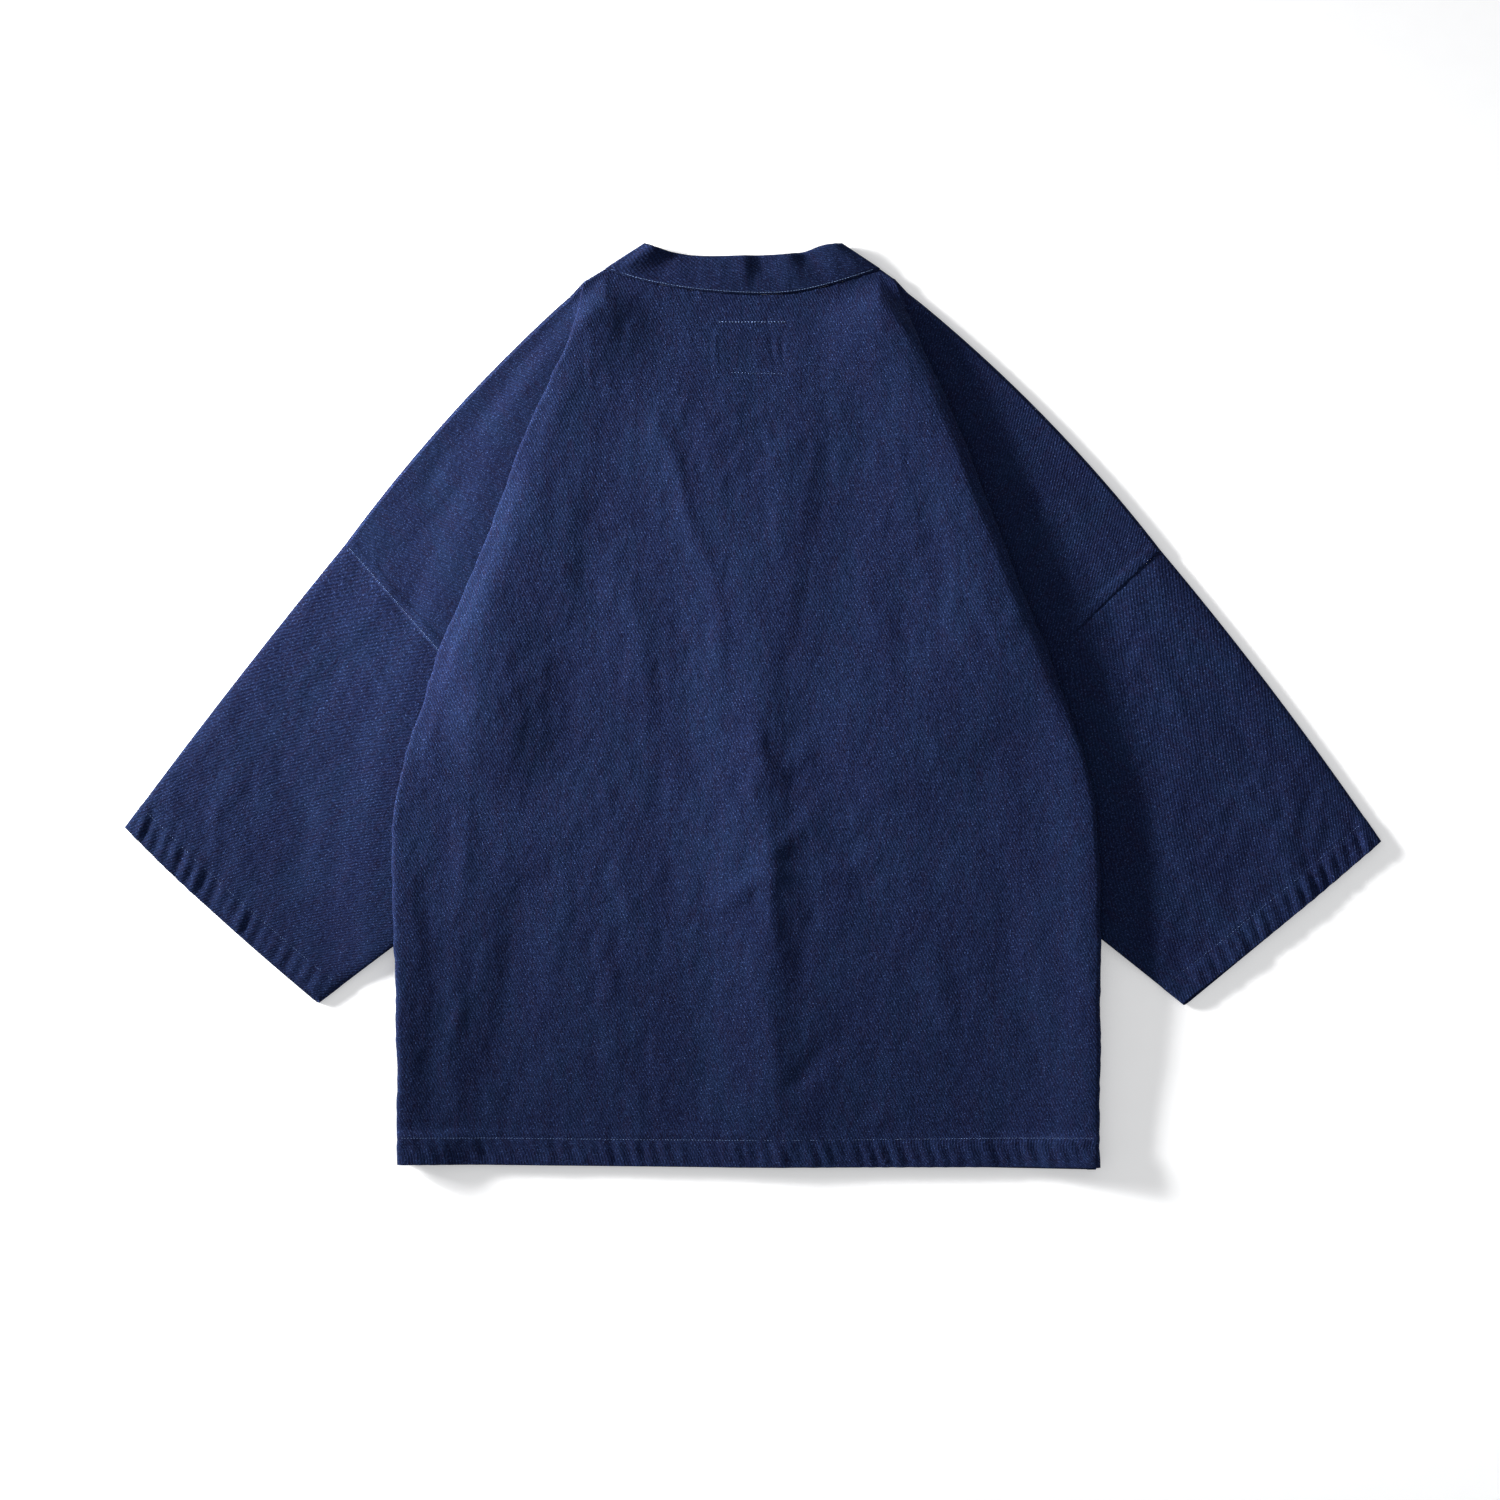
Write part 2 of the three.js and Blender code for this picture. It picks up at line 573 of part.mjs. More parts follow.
function frontGeometry(side) {
  const rows = STATIONS.map((station) => [
    [...bandSeam(side, station), frontHeight(side, ...bandSeam(side, station))],
    ...sideRow(side, station, FRONT, frontPlan(side, station), FRONT_COLUMNS),
  ]);
  const rim = addRim(side, rows[0], 0, FRONT_COLUMNS + 1, FRONT);
  rows.unshift(...rim);
  const fixed = new Map();
  const flip = side === 'left' ? 1 : -1;
  rim[0].forEach((point, c) => {
    const normal = rimNormal(side, c, FRONT_COLUMNS + 1).map((value) => value * flip);
    fixed.set(`0,${c}`, [...normal, 0]);
  });
  return thicken(rows, ([x, y]) => hemWall(y, frontHemAt(side, x)), fixed);
}

// ---------------------------------------------------------------- sleeves
const SLEEVE_ROWS = 9;
const SLEEVE_GAP = 1.2 * SEAM_GAP;    // along the sleeve, which meets the armhole at a slant
const SLEEVE_STEPS = [0.01, 0.17, 0.34, 0.5, 0.66, 0.83, 0.99];
const SLEEVE_EDGE = 0.003;    // share of the width between a folded edge and its next points

function sleevePlan(side, along, across, slip) {
  const { shoulder, sleeveCorner, cuffTop, cuffLow, sleeveBow, cuffBow, out } = SIDES[side];
  const start = mix(shoulder, sleeveCorner, across);
  const end = mix(cuffTop, cuffLow, across);
  const bow = add([0, 0], leftOf(cuffTop, shoulder), -out * sleeveBow * 4 * along * (1 - along));
  const cuffNormal = leftOf(cuffTop, cuffLow).map((value) => value * out);
  const drop = (cuffBow * 4 * across * (1 - across) + slip * across ** 3) * along ** 4;
  return add(add(mix(start, end, along), bow, 1 - across), cuffNormal, drop);
}

function sleeveGeometry(side) {
  const { shoulder, cuffTop, cuffSlip } = SIDES[side];
  const length = reach(shoulder, cuffTop);
  const alongs = [];
  for (let k = 0; k <= SLEEVE_ROWS; k += 1) {
    alongs.push(lerp(SLEEVE_GAP / length, 1 - (HEM_DEPTH + 2) / length, k / SLEEVE_ROWS));
  }
  alongs.push(1 - (HEM_DEPTH - 1) / length, 1);
  const rows = alongs.map((along, k) => {
    const wall = k > SLEEVE_ROWS ? HEM_CLOTH - CLOTH : 0;
    const height = (across, share) => {
      const [x, y] = sleevePlan(side, along, across, 0);
      const low = stripFrontHeight(side, x, y) + wall / 2;
      return lerp(low, stripBackHeight(side, x, y) + wall / 2, share);
    };
    const point = (across, share) => {
      const slip = cuffSlip * (1 - share);
      return [...sleevePlan(side, along, across, slip), height(across, share)];
    };
    const upper = SLEEVE_STEPS.map((across) => point(across, 1));
    const lower = SLEEVE_STEPS.map((across) => point(across, 0)).reverse();
    const [near, far] = [SLEEVE_EDGE, 1 - SLEEVE_EDGE];
    const under = [point(far, 0.85), point(1, 0.5), point(far, 0.15)];
    const over = [point(near, 0.15), point(0, 0.5), point(near, 0.85)];
    return [...upper, ...under, ...lower, ...over];
  });
  const count = rows[0].length;
  const points = rows.flat().map((p) => new THREE.Vector3(...p));
  const walls = rows.flatMap((row, k) => row.map(() => (k > SLEEVE_ROWS ? HEM_CLOTH : CLOTH)));
  const quads = [];
  for (let k = 0; k + 1 < rows.length; k += 1) {
    for (let c = 0; c < count; c += 1) {
      const next = (c + 1) % count;
      quads.push([k * count + c, k * count + next, (k + 1) * count + next, (k + 1) * count + c]);
    }
  }
  return wallFrom(points, quads, walls, points.map(() => undefined));
}

// ---------------------------------------------------------------- collar
const COLLAR_LOW = BAND_CLOTH / 2;
const COLLAR_HIGH = CLOTH / 2 + LOOSE + 0.3;
const BAND_STEPS = [0, 0.5, 1];

// A line across the band, from its seam to its free edge, at one height.
function bandLine(seam, free, z) {
  const gap = SEAM_GAP / reach(seam, free);
  return BAND_STEPS.map((step) => [...mix(seam, free, lerp(gap, 1, step)), z]);
}

function bandOnFront(side, station) {
  const { out, neck, peak } = SIDES[side];
  const seam = bandSeam(side, station);
  const [above, below] = [bandSeam(side, Math.max(0, station - 0.02)), bandSeam(side, station + 0.02)];
  const straight = leftOf(above, below).map((value) => value * -out * BAND_WIDTH);
  const offset = mix(add(peak, neck, -1), straight, ease(0, BAND_SQUARE, station));
  return bandLine(seam, add(seam, offset), COLLAR_LOW);
}

function bandOnBack(side, share) {
  const x = lerp(centreX(CENTRE[0].y), SIDES[side].peak[0], share);
  return bandLine(neckSeam(side, share), [x, readTable(COLLAR_TOP, 'x', 'y', x)], COLLAR_HIGH);
}

function collarGeometry() {
  const half = (side) => {
    const { neck, peak } = SIDES[side];
    const low = bandLine(neck, peak, COLLAR_LOW);
    const high = bandLine(neck, peak, COLLAR_HIGH);
    const back = [];
    for (let c = 1; c < NECK_COLUMN; c += 1) back.push(bandOnBack(side, c / NECK_COLUMN));
    const front = STATIONS.slice(2).map((station) => bandOnFront(side, station));
    const folds = BAND_STEPS.map((step, i) =>
      turn(back[back.length - 1][i], high[i], low[i], front[0][i]));
    const foldRows = folds[0].map((point, r) => folds.map((fold) => fold[r]));
    return [...back, ...foldRows, ...front];
  };
  const rows = [...half('left').reverse(), bandOnBack('left', 0), ...half('right')];
  return thicken(rows, () => BAND_CLOTH);
}

// ---------------------------------------------------------------- the garment
const twill = () => new THREE.MeshStandardMaterial({ color: 0x20294a, roughness: 0.92, metalness: 0 });
const garment = new THREE.Group();
const addPiece = (name, geometry) => {
  const mesh = new THREE.Mesh(geometry, twill());
  mesh.name = name;
  garment.add(mesh);
};

addPiece('back', backGeometry());
for (const side of ['left', 'right']) {
  addPiece(`front_${side}`, frontGeometry(side));
  addPiece(`sleeve_${side}`, sleeveGeometry(side));
}
addPiece('collar', collarGeometry());

// The origin is under the middle of the garment's box.
const box = new THREE.Box3().setFromObject(garment);
const middle = box.getCenter(new THREE.Vector3());
garment.position.set(-middle.x, -middle.y, -box.min.z);

export default garment;
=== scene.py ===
# The looks of a haori-style work jacket of indigo cotton twill, laid flat with its back up.
#
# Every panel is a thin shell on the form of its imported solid, with the same lines and heights
# as the solid has, in millimetres until the mesh is made. The creases, puckers and stitches
# that the solids leave out are added here as real shapes.
import math

import bpy
import numpy as np
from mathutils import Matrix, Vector


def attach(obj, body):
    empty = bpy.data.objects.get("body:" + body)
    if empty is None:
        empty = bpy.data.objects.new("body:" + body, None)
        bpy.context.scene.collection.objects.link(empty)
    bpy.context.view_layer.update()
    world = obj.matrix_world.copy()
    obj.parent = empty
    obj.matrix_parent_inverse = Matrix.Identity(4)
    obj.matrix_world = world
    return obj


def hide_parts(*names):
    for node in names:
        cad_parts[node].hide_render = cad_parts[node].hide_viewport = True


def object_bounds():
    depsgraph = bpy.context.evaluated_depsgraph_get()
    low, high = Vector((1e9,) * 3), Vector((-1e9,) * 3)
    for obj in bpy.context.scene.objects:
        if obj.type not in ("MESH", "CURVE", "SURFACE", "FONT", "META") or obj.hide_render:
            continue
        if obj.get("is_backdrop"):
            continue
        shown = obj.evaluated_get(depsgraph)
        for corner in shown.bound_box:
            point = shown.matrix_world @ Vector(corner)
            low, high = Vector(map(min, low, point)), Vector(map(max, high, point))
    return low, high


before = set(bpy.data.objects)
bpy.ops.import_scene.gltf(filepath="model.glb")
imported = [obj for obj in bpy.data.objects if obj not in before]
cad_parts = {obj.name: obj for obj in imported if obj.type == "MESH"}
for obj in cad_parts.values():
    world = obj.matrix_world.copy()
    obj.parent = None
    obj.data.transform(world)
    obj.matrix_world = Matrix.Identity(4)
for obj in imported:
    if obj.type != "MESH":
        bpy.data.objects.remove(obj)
CAD_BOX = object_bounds()
MM = 0.001

# ---- cloth and layers
CLOTH = 1.2  # wall of the body and the sleeves
HEM_CLOTH = 1.8  # wall of the turned hems
BAND_CLOTH = 2.0  # wall of the doubled collar band
SEAM_GAP = 0.3
HEM_DEPTH = 24
HEM_STEP = 6
BAND_WIDTH = 34
LAYER = 2.2  # between the middles of two layers of the body
LOOSE, PRESSED = 3.4, 2.4  # between a sleeve's two layers, free and under the body
LIFT_START, LIFT_END = 46, 16  # the sleeves rise between these distances outside the body
SETTLE_START, SETTLE_END, TOP_SETTLE_END = 12, 45, 150  # the back sinks past the sleeve's edge
STACK_MARGIN, STACK_FADE = 12, 75  # and rises over the pleat's stack
PLEAT_DEPTH = 36
ROLL_REACH = 38
RIM = (LOOSE - SEAM_GAP) / 2
HEAD_LENGTH = 0.12
HEAD_ROLL = 2.5
OUTER_ROLL = 9
PLEAT_OPEN, PLEAT_CLOSE = 14, 60
SEAM_END_INSET = 7
INNER_ROLL = 5
NECK_CALM, BAND_LEVEL, BAND_SQUARE = 0.45, 0.3, 0.2  # stations by which the neck's shape is lost
BACK_REST = 4.6
HEM_RISE = (HEM_CLOTH - CLOTH) / 2
CALM_EDGE = 12
TENT_RISE = 5.5  # the middle of the back is held up by the pleats on both sides
TENT_START, TENT_TOP, TENT_FOOT = 8, 110, 260
BLEND = 1.5
TOP_LEAST, TOP_BLEND = 1.9, 1.2


class Named(dict):
    """A dict whose values can be read as attributes too."""

    __getattr__ = dict.__getitem__


SIDES = {
    "left": Named(
        out=-1, neck=(-127, 376.5), peak=(-93, 398), pleat=(-146, 365), shoulder=(-351, 139),
        armpit=(-142, -85), sleeve_corner=(-152, -88), cuff_top=(-540, -104),
        cuff_low=(-372, -252), hem_y=-393, front_hem_y=-391, band_hem_y=-391,
        shoulder_bow=7.6, sleeve_bow=2, cuff_bow=4.5, cuff_slip=4,
    ),
    "right": Named(
        out=1, neck=(109, 376.5), peak=(76, 398), pleat=(121.5, 367.5), shoulder=(350, 135),
        armpit=(126, -67), sleeve_corner=(136, -70), cuff_top=(540, -116),
        cuff_low=(370, -254.5), hem_y=-395.5, front_hem_y=-398, band_hem_y=-393,
        shoulder_bow=9.3, sleeve_bow=4, cuff_bow=2, cuff_slip=3,
    ),
}
CENTRE = ((355, -9), (-396, -4))  # y, x

BODY_EDGE = dict(
    y=(-400, -250, -150, -100, -50, 0, 50, 100, 150, 200, 240, 280, 320, 370),
    left=(-306, -306.5, -310, -309.5, -300.5, -284.5, -270, -247.5, -227, -208.5, -193.5,
          -175, -157, -145),
    right=(297.5, 298.5, 297.5, 295, 286.5, 270, 252, 231, 212, 192.5, 176.5, 158.5, 140.5,
           120.5),
)
FRONT_EDGE = dict(
    y=(-400, 0, 60, 126, 200, 281, 376.5),
    left=(-34.7, -34.7, -35.5, -40, -61, -89, -127),
    right=(34.7, 35.2, 42, 54, 66, 78, 109),
)
NECK_SEAM = dict(x=(-127, -97, -54, -3, 32, 66, 109), y=(376.5, 367, 359, 355, 356, 363, 376.5))
COLLAR_TOP = dict(x=(-93, -73, -50, -9, 40, 61, 76), y=(398, 392, 388, 388, 390.5, 397, 398))

# Folds: a ridge or a trough from (x0, y0) to (x1, y1). `left` and `right` are the widths of
# its two flanks as one looks along it, and `bend` moves its middle sideways.
# Columns: x0, y0, x1, y1, height, left, right, bend
MAIN_FOLDS = (
    (-122, 310, -146, 40, -1.0, 26, 26, 0),
    (-146, 40, -190, -150, -1.2, 40, 30, 0),
    (-190, -150, -226, -330, -1.6, 34, 24, 0),
    (104, 345, 150, 240, 2.6, 24, 36, 0),
    (150, 240, 208, 20, 4.4, 50, 46, 0),
    (120, -60, 262, 40, 2.2, 70, 34, 0),
    (-84, 280, -14, 60, 1.9, 70, 30, 0),
    (58, 262, 26, 20, 2.0, 26, 60, 0),
    (10, 60, 20, -390, 2.6, 170, 46, 0),
    (2, 30, 10, -120, 2.4, 22, 40, 0),
    (8, -110, 18, -230, 2.8, 27, 42, 0),
    (18, -220, 24, -390, 2.2, 34, 42, 0),
    (-186, 200, -226, 50, 4.0, 40, 24, 0),
    (-226, 50, -238, -50, 8.6, 60, 28, 0),
    (-276, -110, -276, -370, -1, 16, 14, 0),
    (92, -184, -20, -150, 1.2, 20, 20, 0),
)
EDGE_ROLL = dict(  # height of the back's soft outer folds
    y=(-400, -200, -100, -40, 60, 200, 370),
    left=(4.4, 2.8, 0.6, -0.8, -0.8, 1.2, 3.2),
    right=(4.6, 4.4, 4.0, 3.6, 3.8, 3.8, 3.2),
)
BACK_CREASES = (
    # the two soft creases that run down from the nape, over the band and fronts below
    (-78, 258, -28, 85, 1.0, 6, 11, 2),
    (-30, 110, -30, 0, 0.8, 6, 9, 0),
    (66, 275, 50, 120, -0.8, 10, 9, -3),
    (52, 140, 32, 10, -0.8, 9, 8, 2),
    # long centre creases
    (4, 10, 8, -100, 0.8, 9, 9, 3),
    (8, -90, 16, -230, 0.9, 10, 8, -4),
    (18, -220, 23, -366, 0.8, 9, 9, 3),
    (34, 0, 46, -140, -0.8, 8, 10, 3),
    (46, -150, 42, -330, -0.7, 8, 10, 2),
    # crinkles that cross them
    (-12, -26, 24, -64, 1.0, 7, 8, 0),
    (20, -64, 56, -30, 1.0, 7, 7, 0),
    (0, -134, 56, -86, 1.5, 10, 7, 4),
    (-36, -172, 42, -138, 1.3, 9, 8, -4),
    (34, -150, 104, -130, 1.0, 8, 8, 3),
    (24, -336, 68, -280, -1.6, 8, 9, 3),
    # slanting creases of the lower back
    (112, -344, 106, -362, 0.7, 5, 5, 0),
    (-150, -102, -132, -120, -0.8, 4, 6, 0),
    (-238, -60, -244, -190, 0.7, 8, 8, 4),
    (-210, -170, -222, -300, -0.7, 9, 8, -4),
    (-160, -120, -168, -250, 0.7, 9, 10, 3),
    (-124, -200, -120, -340, 0.6, 8, 9, -3),
    (-66, -120, -76, -260, -0.6, 9, 9, 3),
    (-84, -270, -78, -366, 0.6, 8, 8, 2),
    (-252, -230, -262, -350, 0.7, 7, 6, 3),
    (150, -210, 186, -300, 0.9, 16, 11, 6),
    (-190, -150, -176, -300, 0.8, 14, 12, -6),
    (-96, -60, -106, -200, 0.7, 12, 15, 4),
    (210, -120, 222, -250, -0.8, 12, 14, -5),
    # the left outer fold rises straight from its edge
    (-228, 116, -250, 60, 1.8, 22, 12, 0),
    (-248, 66, -268, 0, 2.6, 22, 13, 0),
    (-267, 4, -283, -56, 2.0, 20, 12, 0),
    # upper back
    (-140, 230, -166, 60, 1.0, 12, 10, 4),
    (-40, 300, -52, 210, -0.6, 8, 10, 2),
    (30, 250, 20, 120, 0.7, 10, 12, 3),
    (126, 250, 168, 90, -1.0, 12, 10, -4),
    (100, 140, 120, 20, 0.8, 14, 12, 4),
    (-110, 120, -92, -10, 0.8, 14, 13, -5),
    # the pressed edges of the stitched box
    (-31, 329, -28, 288, 0.55, 1.6, 2.4, 0),
    (16, 324, 20, 290, -0.6, 2.6, 1.4, 0.5),
    (27.5, 329, 29.5, 289, -0.5, 1.8, 2.6, 0.6),
)
ARM_CREASES = (
    (-264, 240, -278, 178, -1.0, 7, 9, 3),
    (-312, 30, -306, -44, 0.9, 6, 8, 2),
    (-336, 60, -392, -20, -0.8, 10, 14, 5),
    (-300, 120, -360, 30, 0.8, 14, 12, 4),
    (-430, -40, -470, -110, 0.8, 12, 9, 3),
    (-380, -60, -400, -170, -0.8, 10, 14, -4),
    (-340, -110, -352, -190, 0.7, 10, 9, 3),
    (-470, 0, -500, -60, -0.6, 8, 10, 2),
    (-240, 200, -300, 130, -0.6, 10, 8, 2),
    (232, 214, 300, 150, 0.8, 12, 10, 3),
    (286, 120, 330, 40, -0.8, 12, 14, 4),
    (330, 60, 380, -30, 0.8, 12, 10, -3),
    (396, 20, 452, -70, -0.8, 10, 12, 3),
    (350, -60, 380, -160, 0.8, 12, 12, 5),
    (440, -80, 478, -150, 0.7, 9, 11, 2),
    (410, -140, 420, -200, -0.6, 8, 8, 0),
)
COLLAR_WAVES = dict(  # height of the band's free edge along the nape
    x=(-127, -104, -86, -70, -60, -30, -8, 4, 16, 30, 42, 56, 70, 80, 94, 109),
    z=(0, 3.6, 8.0, 1.4, 1.0, 2.0, 3.6, 0.8, 1.5, 3.6, 0.0, 3.2, 6.0, 5.4, 2.0, 0),
)


# ---- small tools
def ease(start, end, x):
    t = np.clip((np.asarray(x, float) - start) / (end - start), 0, 1)
    return t * t * (3 - 2 * t)


def bell(x, width):
    return np.exp(-((x / width) ** 2))


def arch(t):
    """From 0 up to 1 at the middle and back to 0."""
    return 4 * t * (1 - t)


def lerp(a, b, t):
    return a + (b - a) * t


def mix(p, q, t):
    p, q, t = np.asarray(p, float), np.asarray(q, float), np.asarray(t, float)
    return p + (q - p) * t[..., None] if t.ndim else p + (q - p) * t


def reach(p, q):
    return np.linalg.norm((np.asarray(q, float) - np.asarray(p, float))[..., :2], axis=-1)


def left_of(p, q):
    """Unit normal in plan of the line p-q, on its left side."""
    d = np.asarray(q, float) - np.asarray(p, float)
    return np.array([-d[1], d[0]]) / np.hypot(*d)


def read_table(table, key, column, at):
    """Smooth curve through a table's rows, sorted by its key column."""
    keys, values = np.array(table[key], float), np.array(table[column], float)
    at = np.asarray(at, float)
    low = np.maximum(np.arange(len(keys)) - 1, 0)
    high = np.minimum(np.arange(len(keys)) + 1, len(keys) - 1)
    slope = (values[high] - values[low]) / (keys[high] - keys[low])
    i = np.clip(np.searchsorted(keys, at, side="left") - 1, 0, len(keys) - 2)
    span, rise = keys[i + 1] - keys[i], values[i + 1] - values[i]
    t = (at - keys[i]) / span
    bend = (slope[i] * span - rise) * (1 - t) - (slope[i + 1] * span - rise) * t
    inside = (t >= 0) & (t <= 1)
    return values[i] + rise * t + np.where(inside, t * (1 - t) * bend, 0)


def noise(x, y, cell, seed):
    """Smooth seeded noise from -1 to 1; `cell` is its grid's size in x and y."""
    grid = np.random.default_rng(seed).uniform(-1, 1, (64, 64))
    gx, gy = np.asarray(x, float) / cell[0] + 700, np.asarray(y, float) / cell[1] + 700
    ix, iy = np.floor(gx).astype(int), np.floor(gy).astype(int)
    tx, ty = ease(0, 1, gx - ix), ease(0, 1, gy - iy)
    corner = lambda i, j: grid[(ix + i) % 64, (iy + j) % 64]
    return lerp(lerp(corner(0, 0), corner(1, 0), tx), lerp(corner(0, 1), corner(1, 1), tx), ty)


def fold_sum(folds, x, y, taper=0):
    """Height of all folds; each fades in and out over `taper` of its length, or its own width."""
    total = np.zeros(np.broadcast(x, y).shape)
    for x0, y0, x1, y1, height, left, right, bend in folds:
        dx, dy = x1 - x0, y1 - y0
        length = math.hypot(dx, dy)
        along = ((x - x0) * dx + (y - y0) * dy) / length
        across = ((x - x0) * dy - (y - y0) * dx) / length
        across = across - bend * arch(np.clip(along / length, 0, 1))
        soft = (left + right) / 2
        end = max(soft, taper * length)
        fade = ease(-soft, end, along) * (1 - ease(length - end, length + soft, along))
        total = total + height * fade * bell(across, np.where(across < 0, left, right))
    return total


# ---- lines in plan
# A station runs from 0 at the shoulder to 1 at the armpit and 2 at the hem.
def edge_x(side, y):
    """The body's outer fold, which is a little wavy."""
    waves = 0.8 * noise(SIDES[side].out, y, (1, 17), 91) + 0.5 * noise(0, y, (1, 7), 92)
    return read_table(BODY_EDGE, "y", side, y) + waves


def inside_fold(side, x, y):
    """Distance inward from the body's outer fold."""
    return (edge_x(side, y) - x) * SIDES[side].out


def centre_x(y):
    (y0, x0), (y1, x1) = CENTRE
    return lerp(x0, x1, (y0 - y) / (y0 - y1))


def station_y(side, station, hem_y):
    pleat_y, armpit_y = SIDES[side].pleat[1], SIDES[side].armpit[1]
    upper = lerp(pleat_y, armpit_y, station)
    return np.where(station <= 1, upper, lerp(armpit_y, hem_y, station - 1))


def station_of(side, y):
    s = SIDES[side]
    pleat_y, armpit_y = s.pleat[1], s.armpit[1]
    upper = np.maximum(0, (pleat_y - y) / (pleat_y - armpit_y))
    return np.where(y >= armpit_y, upper, 1 + (armpit_y - y) / (armpit_y - s.hem_y))


def outer_fold(side, station, panel):
    y = station_y(side, station, SIDES[side][panel.hem])
    inset = panel.inset * ease(0, HEAD_LENGTH, station)
    return np.stack([edge_x(side, y) - SIDES[side].out * inset, y], -1)


def roll_start(side, station, panel):
    s = SIDES[side]
    width = lerp(HEAD_ROLL, OUTER_ROLL, float(ease(0, HEAD_LENGTH, station)))
    if station == 0:
        return mix(s.pleat, s.neck, width / reach(s.pleat, s.neck))
    return outer_fold(side, station, panel) + np.array([-s.out * width, 0])


def inner_fold(side, station, panel):
    """Inner fold down to the armpit, then the side seam."""
    s = SIDES[side]
    out = s.out
    pleat, armpit, shoulder = (np.array(s[k], float) for k in ("pleat", "armpit", "shoulder"))
    outer_x, y = np.moveaxis(outer_fold(side, station, panel), -1, 0)
    opening = PLEAT_OPEN * (1 - ease(0, PLEAT_CLOSE, pleat[1] - y))
    way = (shoulder - pleat) / reach(pleat, shoulder)
    upper_x = lerp(pleat[0], armpit[0], station) + way[0] * opening
    end = edge_x(side, s[panel.hem]) - out * SEAM_END_INSET
    lower_x = np.minimum(
        lerp(armpit[0], end, station - 1) * out, outer_x * out - SEAM_END_INSET) * out
    above = np.asarray(station) <= 1
    return np.stack([np.where(above, upper_x, lower_x),
                     np.where(above, y + way[1] * opening, y)], -1)


def armhole_seam(side, station):
    return mix(SIDES[side].shoulder, SIDES[side].sleeve_corner, station)


def outward(side, a, b):
    """Unit normal in plan of the line between two of the side's named points."""
    s = SIDES[side]
    return left_of(s[a], s[b]) * s.out


def off_line(side, a, b, x, y):
    """Signed distance in plan from the line between two of the side's named points."""
    normal, start = outward(side, a, b), SIDES[side][a]
    return (x - start[0]) * normal[0] + (y - start[1]) * normal[1]


def shoulder_normal(side):
    return outward(side, "pleat", "shoulder")


def neck_normal(side):
    return outward(side, "neck", "pleat")


def top_y(side, x):
    s = SIDES[side]
    out = s.out
    line = lambda a, b: a[1] + (b[1] - a[1]) * (x - a[0]) / (b[0] - a[0])
    beyond = np.where(x * out <= s.pleat[0] * out, line(s.neck, s.pleat),
                      line(s.pleat, s.shoulder))
    return np.where(x * out <= s.neck[0] * out, read_table(NECK_SEAM, "x", "y", x), beyond)


def below_sleeve(side, x, y):
    return off_line(side, "cuff_low", "sleeve_corner", x, y)


# ---- heights of the cloth's middle
def hem_share(y, hem_y):
    return 1 - ease(HEM_DEPTH, HEM_DEPTH + HEM_STEP, y - hem_y)


def hem_wall(y, hem_y):
    return lerp(CLOTH, HEM_CLOTH, hem_share(y, hem_y))


def back_wall(x, y):
    return hem_wall(y, np.where(x < 0, SIDES["left"].hem_y, SIDES["right"].hem_y))


def closed(side, x, y):
    return ease(4, PLEAT_DEPTH, top_y(side, x) - y)


def lifted(side, x, y):
    return (1 - ease(LIFT_END, LIFT_START, -inside_fold(side, x, y))) * closed(side, x, y)


def layer_rise(side, y):
    return LAYER + (HEM_CLOTH - CLOTH) * hem_share(y, SIDES[side].hem_y)


def front_hem_at(side, x):
    """A front's hem may slant from the band to the outer fold."""
    band_y, fold_y = SIDES[side].band_hem_y, SIDES[side].front_hem_y
    seam = read_table(FRONT_EDGE, "y", side, band_y)
    return lerp(band_y, fold_y, (x - seam) / (edge_x(side, fold_y) - seam))


def front_height(side, x, y):
    return hem_wall(y, front_hem_at(side, x)) / 2


def front_return_height(side, x, y):
    return front_height(side, x, y) + layer_rise(side, y) * closed(side, x, y)


def strip_front_height(side, x, y):
    return CLOTH / 2 + 2 * LAYER * lifted(side, x, y)


def strip_back_height(side, x, y):
    return strip_front_height(side, x, y) + lerp(LOOSE, PRESSED, lifted(side, x, y))


def settled(side, x, y, length):
    on_sleeve = strip_back_height(side, x, y) + LAYER * closed(side, x, y)
    on_front = front_return_height(side, x, y) + layer_rise(side, y)
    return lerp(on_sleeve, on_front, ease(SETTLE_START, length, below_sleeve(side, x, y)))


def back_return_height(side, x, y):
    return settled(side, x, y, SETTLE_END)


